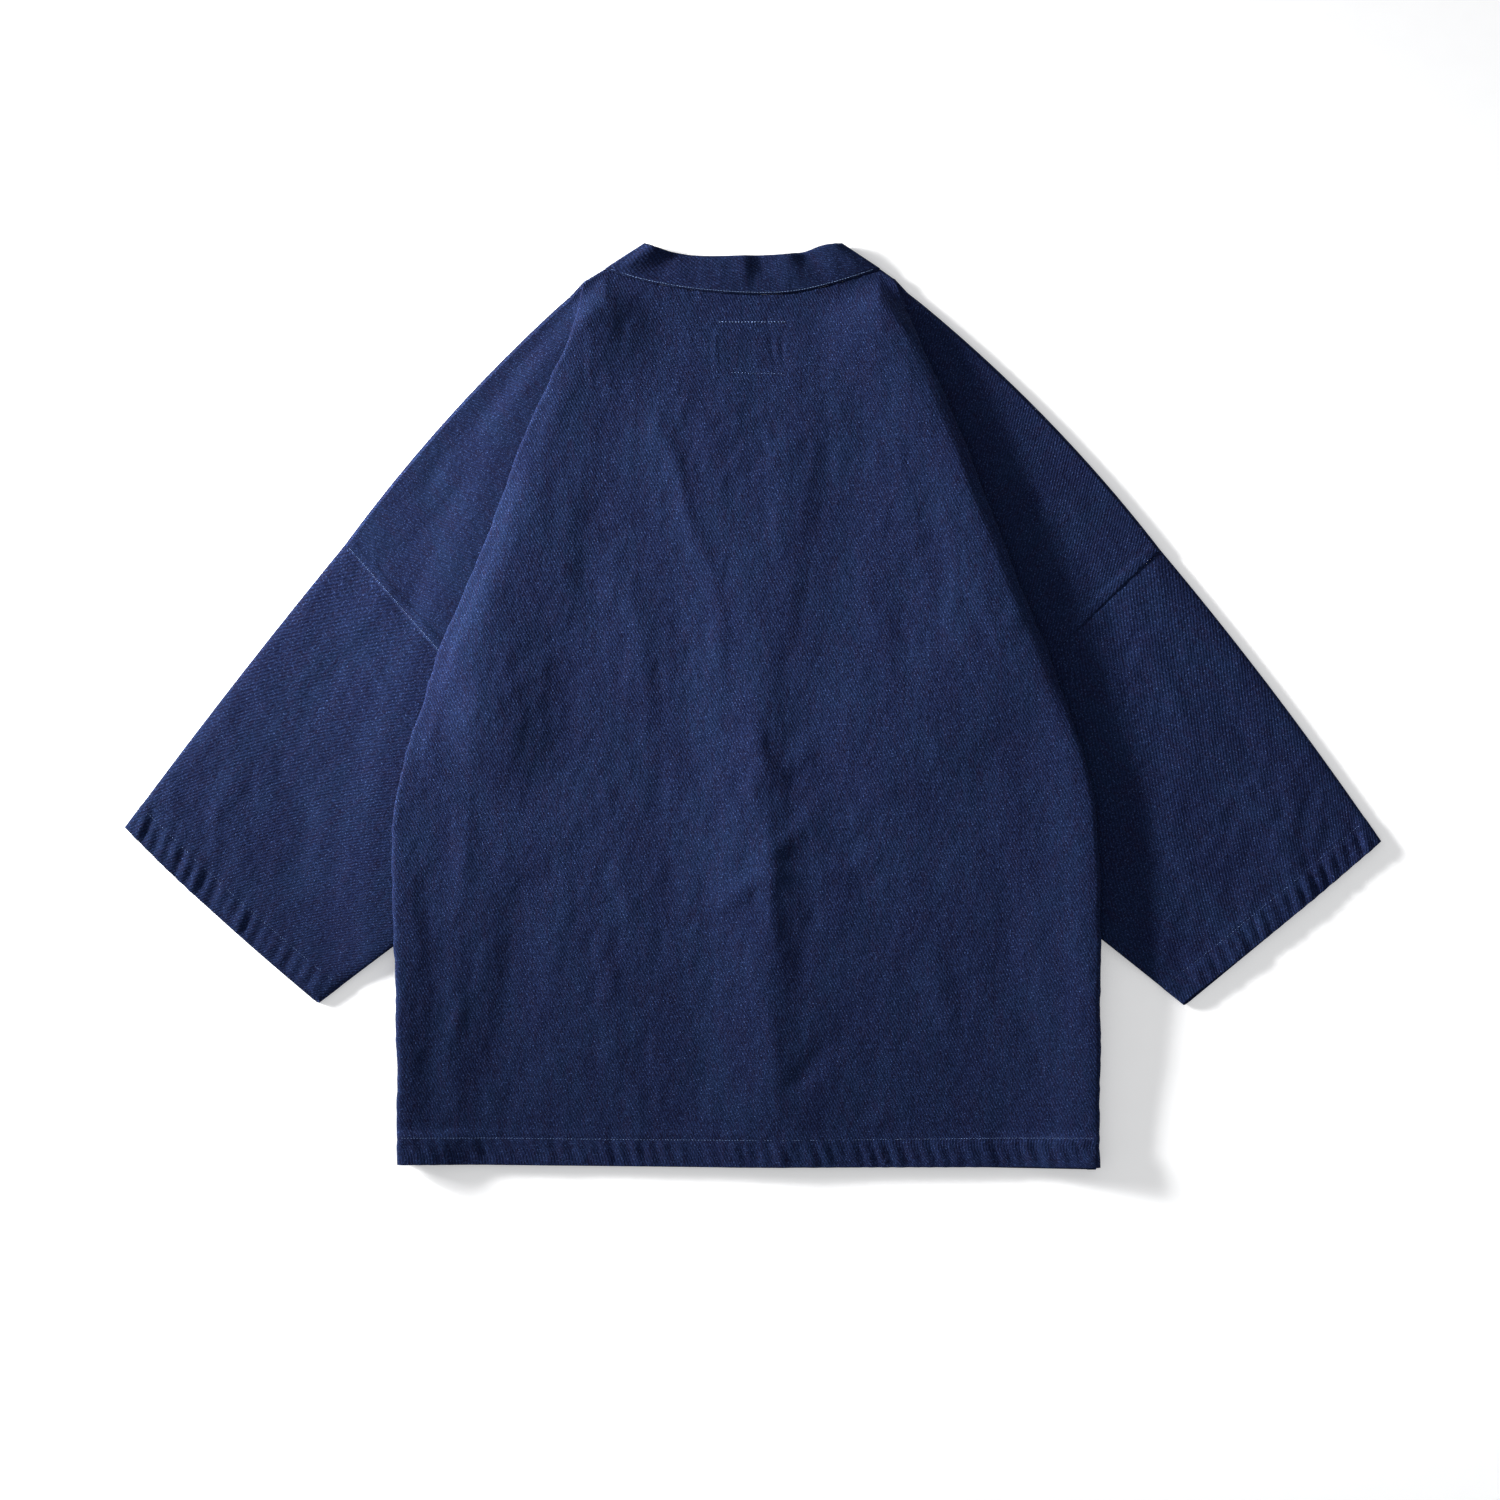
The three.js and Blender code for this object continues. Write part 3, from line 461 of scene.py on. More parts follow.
def back_form(side, x, y):
    """The back's top layer as its solid has it."""
    s = SIDES[side]
    out = s.out
    shut = closed(side, x, y)
    inside = inside_fold(side, x, y)
    fold = inner_fold(side, station_of(side, y), BACK)[..., 0] * out
    stacked = 1 - ease(STACK_MARGIN, STACK_FADE, fold - x * out)
    roll = read_table(EDGE_ROLL, "y", side, y) * bell(inside, ROLL_REACH)
    stack = settled(side, x, y, TOP_SETTLE_END) + (layer_rise(side, y) + roll) * shut
    tent = TENT_RISE * ease(TENT_START, TENT_TOP, top_y(side, x) - y)
    tent = tent * ease(0, TENT_FOOT, y - s.hem_y)
    rest = CLOTH / 2 + lerp(LOOSE, BACK_REST, shut) + tent
    beside = lerp(rest, stack, stacked)
    raised = beside + (rest - beside + np.hypot(rest - beside, BLEND * stacked * shut)) / 2
    folded = raised + fold_sum(MAIN_FOLDS, x, y) * shut * ease(0, CALM_EDGE, inside)
    on_return = ease(-STACK_FADE, 0, x * out - fold)
    least = lerp(rest - TENT_RISE, back_return_height(side, x, y) + TOP_LEAST, on_return)
    clear = folded + (least - folded + np.hypot(least - folded, TOP_BLEND)) / 2
    return lerp(raised, clear, shut) + hem_share(y, s.hem_y) * HEM_RISE


# ---- fine shape of the cloth
STITCH_LINE = dict(x=(-306, -2.6, 297.6), y=(-369.8, -372.4, -369.8))
PUCKER_SLANT = 0.35  # the hem's puckers lean this much
PUCKER_PITCH = 12.5
PUCKER_HEIGHT = 1.3
PUCKER_DRIFT = 0.28  # their phase wanders by this share of the pitch
PUCKER_CELLS = ((30, 60), (15, 60), (6, 40))  # for their phase, their height and their crinkles
GROOVE, STITCH_WIDTH = 0.45, 1.6  # the thread pulls a groove of this depth and reach
SEAM_CALM = 26  # creases fade out this far below a seam
FACE_DROP, FACE_WIDTH = 2.2, 12  # the upper left fold falls off over this width
WANDER = 4.5  # creases wander sideways by this much
CREASE_TAPER = 0.36


def pucker(along, above, depth, seed):
    """Puckers of a turned hem: `above` is the distance from its edge, `depth` to its stitching."""
    lean, past = along + PUCKER_SLANT * above, above - depth
    drift, swell, crinkle = (noise(lean, above, c, seed + i) for i, c in enumerate(PUCKER_CELLS))
    wave = np.sin(2 * np.pi * (lean / PUCKER_PITCH + PUCKER_DRIFT * drift)) * (0.65 + 0.35 * swell)
    body = (0.25 + 0.75 * np.sin(np.pi * np.clip(above / depth, 0, 1)) ** 0.6) * (past < 0)
    over = np.exp(-np.maximum(past, 0) / 7) * ease(0, 3, past)
    height = PUCKER_HEIGHT * (0.75 * wave + 0.5 * crinkle)
    return height * (body + 0.35 * over) - GROOVE * bell(past, STITCH_WIDTH)


def rumple(x, y, seed):
    """Low soft unevenness that all laid cloth has, longest along the warp."""
    big = noise(x, y, (46, 90), seed) + 0.8 * noise(x + 0.3 * y, y, (22, 34), seed + 1)
    small = noise(x - 0.2 * y, y, (11, 15), seed + 2)
    fine = noise(x + 0.25 * y, y, (6, 9), seed + 3)
    streaks = noise(x + 0.05 * y, y, (9, 90), seed + 4)
    uneven = 0.7 + 0.5 * noise(x, y, (70, 80), seed + 5)
    return 0.42 * big + (0.42 * small + 0.25 * fine + 0.14 * streaks) * uneven


def back_detail(side, x, y):
    s = SIDES[side]
    inside, below, above = inside_fold(side, x, y), top_y(side, x) - y, y - s.hem_y
    wander = WANDER * noise(x, y, (26, 34), 17)
    creases = fold_sum(BACK_CREASES, x + wander, y + wander, CREASE_TAPER) * ease(-4, 16, inside)
    if side == "left":
        upper = ease(20, 120, y) * (1 - 0.8 * ease(280, 340, y))
        creases = creases - FACE_DROP * bell(inside, FACE_WIDTH) * upper
    fine = creases * ease(2, 16, above) + rumple(x, y, 11) * ease(-6, 20, inside)
    # the neck edge puckers at the band's stitches
    nape = 0.35 * bell(below, 9) * noise(x, y, (4.5, 30), 21)
    nape = nape * (x * s.out < s.neck[0] * s.out)
    depth = read_table(STITCH_LINE, "x", "y", x) - s.hem_y
    hem = pucker(x, above, depth, 31) * ease(-2, 8, inside)
    return fine * ease(3, SEAM_CALM, below) + nape + hem


def back_height(side, x, y):
    """The back's top layer with its creases, which stay clear of the layer below."""
    height = back_form(side, x, y) + back_detail(side, x, y)
    fold = inner_fold(side, station_of(side, y), BACK)[..., 0]
    on_pleat = ease(-40, 6, (x - fold) * SIDES[side].out)
    below = lerp(front_height(side, x, y), back_return_height(side, x, y), on_pleat)
    lowest = below + CLEARANCE
    return np.where(height > lowest + 1, height, lowest + np.exp(height - lowest - 1))


CLEARANCE = 1.7  # least distance between the middles of two layers
SEAM_RIDGE, SEAM_RIDGE_WIDTH = 0.5, 7  # the seam allowance lifts the body's side of the armhole
SEAM_STEP = 0.3  # the right sleeve dips this much at its seam
BRIDGE, BRIDGE_END = 0.4, 90  # share of the step that is spanned, and how far out


def from_armhole(side, x, y):
    """Signed distance from the armhole seam, positive on the sleeve."""
    return off_line(side, "shoulder", "sleeve_corner", x, y)


def bridged(side, x, y):
    """On the left the upper cloth spans the step where the body's layers end under it."""
    outside = -inside_fold(side, x, y)
    short_slope, long_slope = (1 - ease(LIFT_END, end, outside) for end in (LIFT_START, BRIDGE_END))
    rise = 2 * LAYER * (long_slope - short_slope) * closed(side, x, y)
    return BRIDGE * rise * ease(0, 40, top_y(side, x) - y) * (side == "left")


def arm_detail(side, x, y):
    """Creases of the drop shoulder and the sleeve, across the seam between them."""
    s = SIDES[side]
    off = from_armhole(side, x, y)
    below = (top_y(side, x) - y) * 0.7
    seam = SEAM_RIDGE * ease(-SEAM_RIDGE_WIDTH - 2.5, -SEAM_RIDGE_WIDTH, off) * (off <= 0)
    if side == "left":
        seam = seam * (1 - 0.8 * ease(-1.4, 0, off))
    else:
        seam = seam - SEAM_STEP * bell(off, STITCH_WIDTH) * (off > 0)
    along = (x - s.shoulder[0]) + (y - s.shoulder[1])
    seam = seam + np.where(off > 0, 0.35, 0.08) * noise(along, off, (9, 30), 41) * bell(off, 9)
    creases = fold_sum(ARM_CREASES, x, y, CREASE_TAPER) + rumple(x, y, 51)
    return creases * ease(2, 20, below) * (1 - lifted(side, x, y)) + seam * ease(0, 6, below)


def strip_top_height(side, x, y):
    return strip_back_height(side, x, y) + arm_detail(side, x, y) + bridged(side, x, y)


BACK = Named(
    inset=CLOTH / 2, hem="hem_y", heights=(back_height, back_return_height, strip_top_height),
    seam_turn=1, rim_turn=-1, top=90, fold=6, returns=6, inner=3, strip=34,
)
FRONT = Named(
    inset=CLOTH / 2 + 3, hem="front_hem_y",
    heights=(front_height, front_return_height, strip_front_height),
    seam_turn=-1, rim_turn=1, top=28, fold=4, returns=4, inner=3, strip=14,
)


# ---- rows of a panel
UPPER_ROWS, LOWER_ROWS, HEM_ROWS = 108, 56, 14
ROW_POWER = 1.2
HEM_BAND = 34  # closer rows from this far above the hem


def stations(upper, lower, hem):
    """Stations of the rows, closer at the shoulder and above the hem."""
    length = SIDES["left"].armpit[1] - SIDES["left"].hem_y
    band = 2 - HEM_BAND / length
    last = np.linspace(band, 2 - 0.6 / length, hem)[1:]
    return np.concatenate([
        (np.arange(upper + 1) / upper) ** ROW_POWER,
        np.linspace(1, band, lower + 1)[1:], last, [2.0]])


def seam_height(side, station):
    x, y = inner_fold(side, station, BACK)
    return (back_return_height(side, x, y) + front_return_height(side, x, y)) / 2


def turn(a, b, c, d, steps):
    """Points round a fold: a and b lie in one layer, c and d in the other."""
    t = np.linspace(0, 1, steps + 1)
    curve = lambda p, q, r: mix(p, q, t) * (1 - t)[:, None] + mix(q, r, t) * t[:, None]
    ab, bc, cd = (a + b) / 2, (b + c) / 2, (c + d) / 2
    return np.concatenate([curve(ab, b, bc), curve(bc, c, cd)[1:]])


SEAM_COLUMNS = np.array([12.0, 9.8, 8.4, 7.0, 4.5, 2.2, 0.8, 0.0])  # distances from the seam
HIDDEN_COLUMNS = 7  # columns of the strip that the body covers
NARROW_STRIP = 40  # a strip narrower than this has its seam columns closer


def strip_steps(side, inner, edge, count):
    """Shares of the strip's width, close where it shows and closest at the armhole seam."""
    width = reach(inner, edge)
    seam = 1 - SEAM_COLUMNS * min(1, width / NARROW_STRIP) / width
    if count <= HIDDEN_COLUMNS + len(SEAM_COLUMNS) + 2:
        return np.append(np.linspace(0.06, 1, count)[:-2], seam[-2:])
    covered = 0.5
    for _ in range(6):
        y = lerp(inner[1], edge[1], covered)
        covered = float(np.clip((edge_x(side, y) - inner[0]) / (edge[0] - inner[0]), 0.2, 0.6))
    shown = count - HIDDEN_COLUMNS - len(SEAM_COLUMNS)
    return np.concatenate([np.linspace(0.06, covered, HIDDEN_COLUMNS),
                           np.linspace(covered, seam[0], shown + 2)[1:-1], seam])


def side_row(side, station, panel, plan):
    """One row of a panel's side, from the first column off its inner line to its outer edge."""
    s = SIDES[side]
    top, back, strip = panel.heights

    def at(p, height):
        p = np.asarray(p, float)
        return np.concatenate([p, height(side, p[..., 0], p[..., 1])[..., None]], -1)

    outer, inner = outer_fold(side, station, panel), inner_fold(side, station, panel)
    width = reach(outer, inner)
    turn_in, turn_out = min(0.3, OUTER_ROLL / width), min(0.3, INNER_ROLL / width)
    start = plan(np.array(1.0))
    share = np.arange(1, panel.top + 1) / panel.top
    parts = [
        at(plan(share), top),
        turn(at(start, top), at(outer, top), at(outer, back), at(mix(outer, inner, turn_in), back),
             panel.fold),
        at(mix(outer, inner, np.linspace(turn_in, 1 - turn_out, panel.returns + 1)[1:-1]), back),
    ]
    lost = 2 * panel.inner + 1 + panel.strip
    if station > 1:
        hem = front_hem_at(side, inner[0]) if panel is FRONT else s.hem_y
        shift = (hem_wall(inner[1], hem) + SEAM_GAP) / 2
        z = seam_height(side, station) + panel.seam_turn * shift
        parts += [at(mix(inner, outer, turn_out), back)[None], np.array([[inner[0], inner[1], z]]),
                  np.full((lost - 2, 3), np.nan)]
        return np.concatenate(parts)
    edge = armhole_seam(side, station)
    beside = mix(inner, edge, min(0.3, INNER_ROLL / reach(inner, edge)))
    parts.append(turn(at(mix(inner, outer, turn_out), back), at(inner, back), at(inner, strip),
                      at(beside, strip), panel.inner))
    steps = strip_steps(side, inner, edge, panel.strip)
    bow = s.shoulder_bow * (1 - station) ** 2 * 4 * steps * (1 - steps)
    parts.append(at(mix(inner, edge, steps) + shoulder_normal(side) * bow[:, None], strip))
    return np.concatenate(parts)


def neck_seam(side, share):
    x = lerp(centre_x(CENTRE[0][0]), SIDES[side].neck[0], share)
    return np.stack([x, read_table(NECK_SEAM, "x", "y", x)], -1)


def station_depth(side, station):
    s = SIDES[side]
    top = s.pleat[1]
    return (top - station_y(side, station, s.hem_y)) / (top - s.hem_y)


NECK_SHARE = 9 / 12  # share of the back's top row that is neck seam


def back_plan(side, station):
    start = roll_start(side, station, BACK)
    centre_y = lerp(CENTRE[0][0], CENTRE[1][0], station_depth(side, station))
    centre = np.array([centre_x(centre_y), centre_y])
    blend = float(1 - ease(0, NECK_CALM, station)) ** 1.5

    def plan(share):
        straight = mix(centre, start, share)
        if blend == 0:
            return straight
        head_end = roll_start(side, 0, BACK)
        head = mix((centre_x(CENTRE[0][0]), CENTRE[0][0]), head_end, share)
        on_neck = neck_seam(side, np.minimum(share / NECK_SHARE, 1))
        past = np.maximum(share - NECK_SHARE, 0) / (1 - NECK_SHARE)
        beyond = mix(SIDES[side].neck, head_end, past)
        curve = np.where((share <= NECK_SHARE)[..., None], on_neck, beyond)
        return straight + (curve - head) * blend

    return plan


def band_seam(side, station):
    s = SIDES[side]
    level = (s.neck[1] - s.pleat[1]) * (1 - ease(0, BAND_LEVEL, station))
    y = station_y(side, station, s.band_hem_y) + level
    return np.stack([read_table(FRONT_EDGE, "y", side, y), y], -1)


def front_plan(side, station):
    start = roll_start(side, station, FRONT)
    return lambda share: mix(band_seam(side, station), start, share)


# ---- shells
RIM_ANGLES = np.radians([0, 30, 60])


def add_rims(side, rows, panel, first, before, facing):
    """Rims that turn the wall into the shoulder seam, above the first row from column `first` on.

    `before` counts the columns ahead of the panel's own. Gives the points, their places on the
    cloth and the normals of the uppermost rim, which point along `facing` times the seam's own.
    """
    uv = panel_uv(side, rows, before_strip(panel) + before)
    use = np.arange(rows.shape[1]) >= first
    beyond = np.arange(rows.shape[1]) >= panel.top + before
    seam_normals = np.where(beyond[:, None], shoulder_normal(side), neck_normal(side))
    moves = seam_normals.copy()
    if before:
        moves[0] = along_band(side)
    rims = np.full((len(RIM_ANGLES), *rows.shape[1:]), np.nan)
    for rim, angle in zip(rims, RIM_ANGLES):
        rim[use, :2] = rows[0][use, :2] + moves[use] * RIM * (math.cos(angle) - 1)
        rim[use, 2] = rows[0][use, 2] + panel.rim_turn * RIM * (1 - math.sin(angle))
    rows[0][use, :2] -= moves[use] * RIM
    points = np.concatenate([rims, rows])
    fixed = np.full_like(points, np.nan)
    fixed[0, first:, :2] = facing * seam_normals[first:]
    fixed[0, first:, 2] = 0
    return points, np.concatenate([np.repeat(uv[:1], len(rims), 0), uv]), fixed


def place(name, data):
    obj = bpy.data.objects.new(name, data)
    bpy.context.collection.objects.link(obj)
    return obj


def place_mesh(name, vertices, faces):
    mesh = bpy.data.meshes.new(name)
    mesh.from_pydata((vertices * MM).tolist(), [], faces.tolist())
    mesh.polygons.foreach_set("use_smooth", np.ones(len(faces), bool))
    return place(name, mesh)


def shell(name, points, walls, uvs, ring=False, fixed=None):
    """A closed wall of the given thickness round a grid of points, with holes where it has none.

    `fixed` holds the normals of the points whose wall doesn't follow the sheet's own normal.
    """
    rows, columns = points.shape[:2]
    across = np.arange(columns if ring else columns - 1)
    beside = (across + 1) % columns
    k = np.arange(rows - 1)[:, None] * columns
    corners = np.stack([k + across, k + beside, k + columns + beside, k + columns + across], -1)
    corners = corners.reshape(-1, 4)
    flat = points.reshape(-1, 3)
    corners = corners[~np.isnan(flat[corners][:, :, 0]).any(1)]
    used, inverse = np.unique(corners, return_inverse=True)
    quads = inverse.reshape(-1, 4)
    flat, wall = flat[used], np.asarray(walls, float).reshape(-1)[used, None]
    uv = uvs.reshape(-1, 2)[used]
    a, b, c, d = (flat[quads[:, i]] for i in range(4))
    normals = np.zeros_like(flat)
    np.add.at(normals, quads, np.cross(c - a, d - b)[:, None, :].repeat(4, 1))
    normals /= np.linalg.norm(normals, axis=1, keepdims=True)
    if fixed is not None:
        given = fixed.reshape(-1, 3)[used]
        normals = np.where(np.isnan(given), normals, given)
    count = len(flat)
    vertices = np.concatenate([flat + normals * wall / 2, flat - normals * wall / 2])
    sides = np.concatenate([quads[:, [i, (i + 1) % 4]] for i in range(4)])
    key = np.sort(sides, 1)
    key = key[:, 0] * count + key[:, 1]
    _, index, times = np.unique(key, return_index=True, return_counts=True)
    p, q = sides[index[times == 1]].T
    rim = np.stack([p, p + count, q + count, q], -1)
    faces = np.concatenate([quads, quads[:, ::-1] + count, rim])
    obj = place_mesh(name, vertices, faces)
    layer = obj.data.uv_layers.new(name="Cloth")
    layer.data.foreach_set("uv", (np.concatenate([uv, uv]) * MM)[faces.ravel()].ravel())
    obj.data.validate()
    return obj


STRIP_TURN = math.radians(42)  # the pleat turns the cloth of the drop shoulder by this much


def panel_uv(side, rows, columns_before_strip):
    """Where each point lies on the panel's cloth before the pleat was folded."""
    s = SIDES[side]
    uv = rows[..., :2].copy()
    step = np.linalg.norm(np.diff(rows, axis=1), axis=-1)
    start = uv[:, :1, 0]
    uv[:, 1:, 0] = start + s.out * np.cumsum(np.nan_to_num(step), 1)
    angle = STRIP_TURN * s.out
    rel = rows[:, columns_before_strip:, :2] - np.array(s.pleat, float)
    cos, sin = math.cos(angle), math.sin(angle)
    uv[:, columns_before_strip:, 0] = rel[..., 0] * cos - rel[..., 1] * sin + s.pleat[0]
    uv[:, columns_before_strip:, 1] = rel[..., 0] * sin + rel[..., 1] * cos + s.pleat[1]
    return np.nan_to_num(uv)


def before_strip(panel):
    return panel.top + 2 * panel.fold + 1 + panel.returns - 1 + panel.inner + 1


def make_back():
    where = stations(UPPER_ROWS, LOWER_ROWS, HEM_ROWS)
    rims = len(RIM_ANGLES)
    first = round(BACK.top * NECK_SHARE) - 1
    halves = {}
    for side in SIDES:
        rows = np.array([side_row(side, st, BACK, back_plan(side, st)) for st in where])
        halves[side] = add_rims(side, rows, BACK, first, 0, -1)
    middle = np.full((len(where) + rims, 1, 3), np.nan)
    for k, st in enumerate(where):
        p = (back_plan("left", st)(np.array(0.0)) + back_plan("right", st)(np.array(0.0))) / 2
        middle[k + rims, 0] = (*p, (back_height("left", *p) + back_height("right", *p)) / 2)
    centres = middle, np.nan_to_num(middle[..., :2]), np.full_like(middle, np.nan)
    points, uv, fixed = (
        np.concatenate([left[:, ::-1], centre, right], 1)
        for left, centre, right in zip(halves["left"], centres, halves["right"]))
    return shell("back_cloth", points, back_wall(points[..., 0], points[..., 1]), uv, fixed=fixed)


def along_band(side):
    """The rim's first column keeps to the band's seam."""
    neck = np.array(SIDES[side].neck, float)
    below = band_seam(side, (2 / 15) ** 1.6)
    way = (neck - below) / reach(neck, below)
    return way / (way @ neck_normal(side))


def make_front(side):
    rows = np.array([
        np.concatenate([
            [(*band_seam(side, st), float(front_height(side, *band_seam(side, st))))],
            side_row(side, st, FRONT, front_plan(side, st))]) for st in stations(44, 22, 6)])
    points, uv, fixed = add_rims(side, rows, FRONT, 0, 1, -SIDES[side].out)
    walls = hem_wall(points[..., 1], front_hem_at(side, points[..., 0]))
    return shell(f"front_{side}_cloth", points, walls, uv, fixed=fixed)


# ---- sleeves
SLEEVE_ROWS = 112
SEWN_GAP = 0.08  # sewn edges meet, so the seams show no light
EDGE_ABOVE = 0.042  # share of the width over which the upper layer rounds off
EDGE_BELOW = 0.012
SLEEVE_WIDTH = 224
UPPER_COLUMNS, LOWER_COLUMNS, EDGE_COLUMNS = 80, 36, 11
CUFF_STITCH = 23  # the cuff's stitching is this far from its edge
FELL_INSET = 9  # the underarm seam is this far inside the lower fold
FELL_RIDGE, FELL_DIP, FELL_STEP = 0.4, 0.3, 3.4  # its ridge, and the dip beside it


def sleeve_plan(side, along, across, slip):
    s = SIDES[side]
    across = np.asarray(across, float)
    line = mix(mix(s.shoulder, s.sleeve_corner, across),
               mix(s.cuff_top, s.cuff_low, across), along)
    bow = outward(side, "shoulder", "cuff_top") * s.sleeve_bow * arch(along)
    drop = (s.cuff_bow * arch(across) + slip * across ** 3) * along ** 4
    cuff = outward(side, "cuff_top", "cuff_low") * drop[..., None]
    return line + bow * (1 - across)[..., None] + cuff


def sleeve_length(side):
    return float(reach(SIDES[side].shoulder, SIDES[side].cuff_top))


def sleeve_top(side, along, across, point):
    """Height of the sleeve's upper layer, without its rounded edges."""
    x, y = point[..., 0], point[..., 1]
    to_cuff = (1 - along) * sleeve_length(side)
    detail = arm_detail(side, x, y) + pucker(SLEEVE_WIDTH * across, to_cuff, CUFF_STITCH, 61)
    if side == "right":
        from_fell = (1 - across) * SLEEVE_WIDTH - FELL_INSET
        detail = detail + FELL_RIDGE * bell(from_fell, STITCH_WIDTH)
        detail = detail - FELL_DIP * bell(from_fell - FELL_STEP, STITCH_WIDTH)
    inside = ease(0, 0.06, across) * ease(0, 0.06, 1 - across)
    form = strip_back_height(side, x, y) + bridged(side, x, y)
    return form + detail * inside + hem_share(to_cuff, 0) * HEM_RISE


def make_sleeve(side):
    s = SIDES[side]
    length = sleeve_length(side)
    alongs = np.concatenate([
        np.array([SEWN_GAP, 0.4, 1.2, 2.4]) / length,
        np.linspace(4 / length, 1 - (HEM_DEPTH + 8) / length, SLEEVE_ROWS - 17),
        np.linspace(1 - (HEM_DEPTH + 5.5) / length, 1 - 0.6 / length, 13), [1.0]])
    angles = np.radians(np.linspace(90, -90, EDGE_COLUMNS + 2)[1:-1])
    edge_across = 1 - np.where(angles > 0, EDGE_ABOVE, EDGE_BELOW) * (1 - np.cos(angles))
    edge_share = 0.5 + 0.5 * np.sin(angles)
    across = np.concatenate([
        np.linspace(EDGE_ABOVE, 1 - EDGE_ABOVE, UPPER_COLUMNS), edge_across,
        np.linspace(1 - EDGE_BELOW, EDGE_BELOW, LOWER_COLUMNS), 1 - edge_across[::-1]])
    share = np.concatenate([
        np.ones(UPPER_COLUMNS), edge_share, np.zeros(LOWER_COLUMNS), edge_share[::-1]])
    girth = np.where(share >= 0.5, across, 2 - across) * SLEEVE_WIDTH
    rows, uvs, walls = [], [], []
    for along in alongs:
        flat = sleeve_plan(side, along, across, 0)
        hem = 1 - ease(HEM_DEPTH - 1, HEM_DEPTH + 2, (1 - along) * length)
        low = strip_front_height(side, flat[:, 0], flat[:, 1]) + hem * HEM_RISE
        high = sleeve_top(side, along, across, flat)
        plan = sleeve_plan(side, along, across, s.cuff_slip * (1 - share))
        rows.append(np.column_stack([plan, lerp(low, high, share)]))
        walls.append(np.full(len(across), lerp(CLOTH, HEM_CLOTH, hem)))
        uvs.append(np.column_stack([girth * s.out + 31, np.full(len(across), -along * length)]))
    return shell(f"sleeve_{side}_cloth", np.array(rows), np.array(walls), np.array(uvs), ring=True)


# ---- collar band
COLLAR_LOW = BAND_CLOTH / 2
COLLAR_HIGH = CLOTH / 2 + LOOSE + 0.3
BAND_ACROSS = 12
NAPE_COLUMNS = 44
BAND_STATIONS = np.linspace(0.0433, 2, 96)


BAND_LIFT = 0.8  # how soon the band's waves grow from its seam
PEAK_WAVE = 0.55  # share of the waves' height at the collar's peaks


def band_crown(share):
    return 0.5 * np.sin(np.pi * share) ** 0.5


def band_line(seam, free, z, wave=0):
    gap = SEWN_GAP / reach(seam, free)
    share = np.linspace(0, 1, BAND_ACROSS + 1)
    plan = mix(seam, free, lerp(gap, 1, share))
    return np.column_stack([plan, z + wave * share ** BAND_LIFT + band_crown(share)])


def low_band(seam, free):
    line = band_line(seam, free, COLLAR_LOW)
    line[:, 2] = COLLAR_LOW
    return line


def band_on_front(side, station):
    s = SIDES[side]
    seam = band_seam(side, station)
    above, below = band_seam(side, max(0, station - 0.02)), band_seam(side, station + 0.02)
    straight = left_of(above, below) * -s.out * BAND_WIDTH
    slant = np.array(s.peak, float) - np.array(s.neck, float)
    return low_band(seam, seam + mix(slant, straight, float(ease(0, BAND_SQUARE, station))))


def band_wave(x):
    return float(read_table(COLLAR_WAVES, "x", "z", x))


def band_on_back(side, share):
    x = lerp(centre_x(CENTRE[0][0]), SIDES[side].peak[0], share)
    seam = neck_seam(side, np.array(share))
    free = (x, read_table(COLLAR_TOP, "x", "y", x))
    fade = float(1 - ease(0.9, 1, share))
    line = band_line(seam, free, COLLAR_HIGH, band_wave(x) * lerp(PEAK_WAVE, 1, fade))
    inner = np.sin(np.pi * np.linspace(0, 1, BAND_ACROSS + 1))
    line[:, 2] += 0.5 * noise(line[:, 0], line[:, 1], (7, 13), 71) * inner * fade
    return line


def make_collar():
    halves = {}
    for side in SIDES:
        s = SIDES[side]
        low = low_band(s.neck, s.peak)
        high = band_line(s.neck, s.peak, COLLAR_HIGH, band_wave(s.peak[0]) * PEAK_WAVE)
        nape = [band_on_back(side, c / NAPE_COLUMNS) for c in range(1, NAPE_COLUMNS)]
        front = [band_on_front(side, st) for st in BAND_STATIONS]
        folds = np.array([turn(nape[-1][i], high[i], low[i], front[0][i], 4)
                          for i in range(BAND_ACROSS + 1)])
        halves[side] = np.concatenate([nape, folds.transpose(1, 0, 2), front])
    middle = band_on_back("left", 0.0)[None]
    points = np.concatenate([halves["left"][::-1], middle, halves["right"]])
    along = np.concatenate([[0], np.cumsum(np.linalg.norm(np.diff(points[:, 6], axis=0), axis=1))])
    across = np.linspace(0, BAND_WIDTH, BAND_ACROSS + 1)
    uv = np.stack(np.broadcast_arrays(along[:, None], across[None]), -1)
    walls = np.full(points.shape[:2], BAND_CLOTH)
    return shell("collar_cloth", points, walls, uv)


# ---- stitches
def stitch_solid():
    """A short thread that bulges out of the cloth: unit length along x, unit width, unit height."""
    around = 6
    angle = np.arange(around) / around * 2 * math.pi
    points = [(-0.5, 0, 0)]
    for x, r in ((-0.36, 0.375), (0, 0.5), (0.36, 0.375)):
        points += [(x, r * math.cos(a), r * math.sin(a)) for a in angle]
    points.append((0.5, 0, 0))
    last = len(points) - 1
    faces = []
    for i in range(around):
        j = (i + 1) % around
        faces.append((0, 1 + j, 1 + i))
        for k in (1, 1 + around):
            faces += [(k + i, k + j, k + around + j), (k + i, k + around + j, k + around + i)]
        faces.append((last, last - around + i, last - around + j))
    return np.array(points, float), np.array(faces)


STITCH_POINTS, STITCH_FACES = stitch_solid()


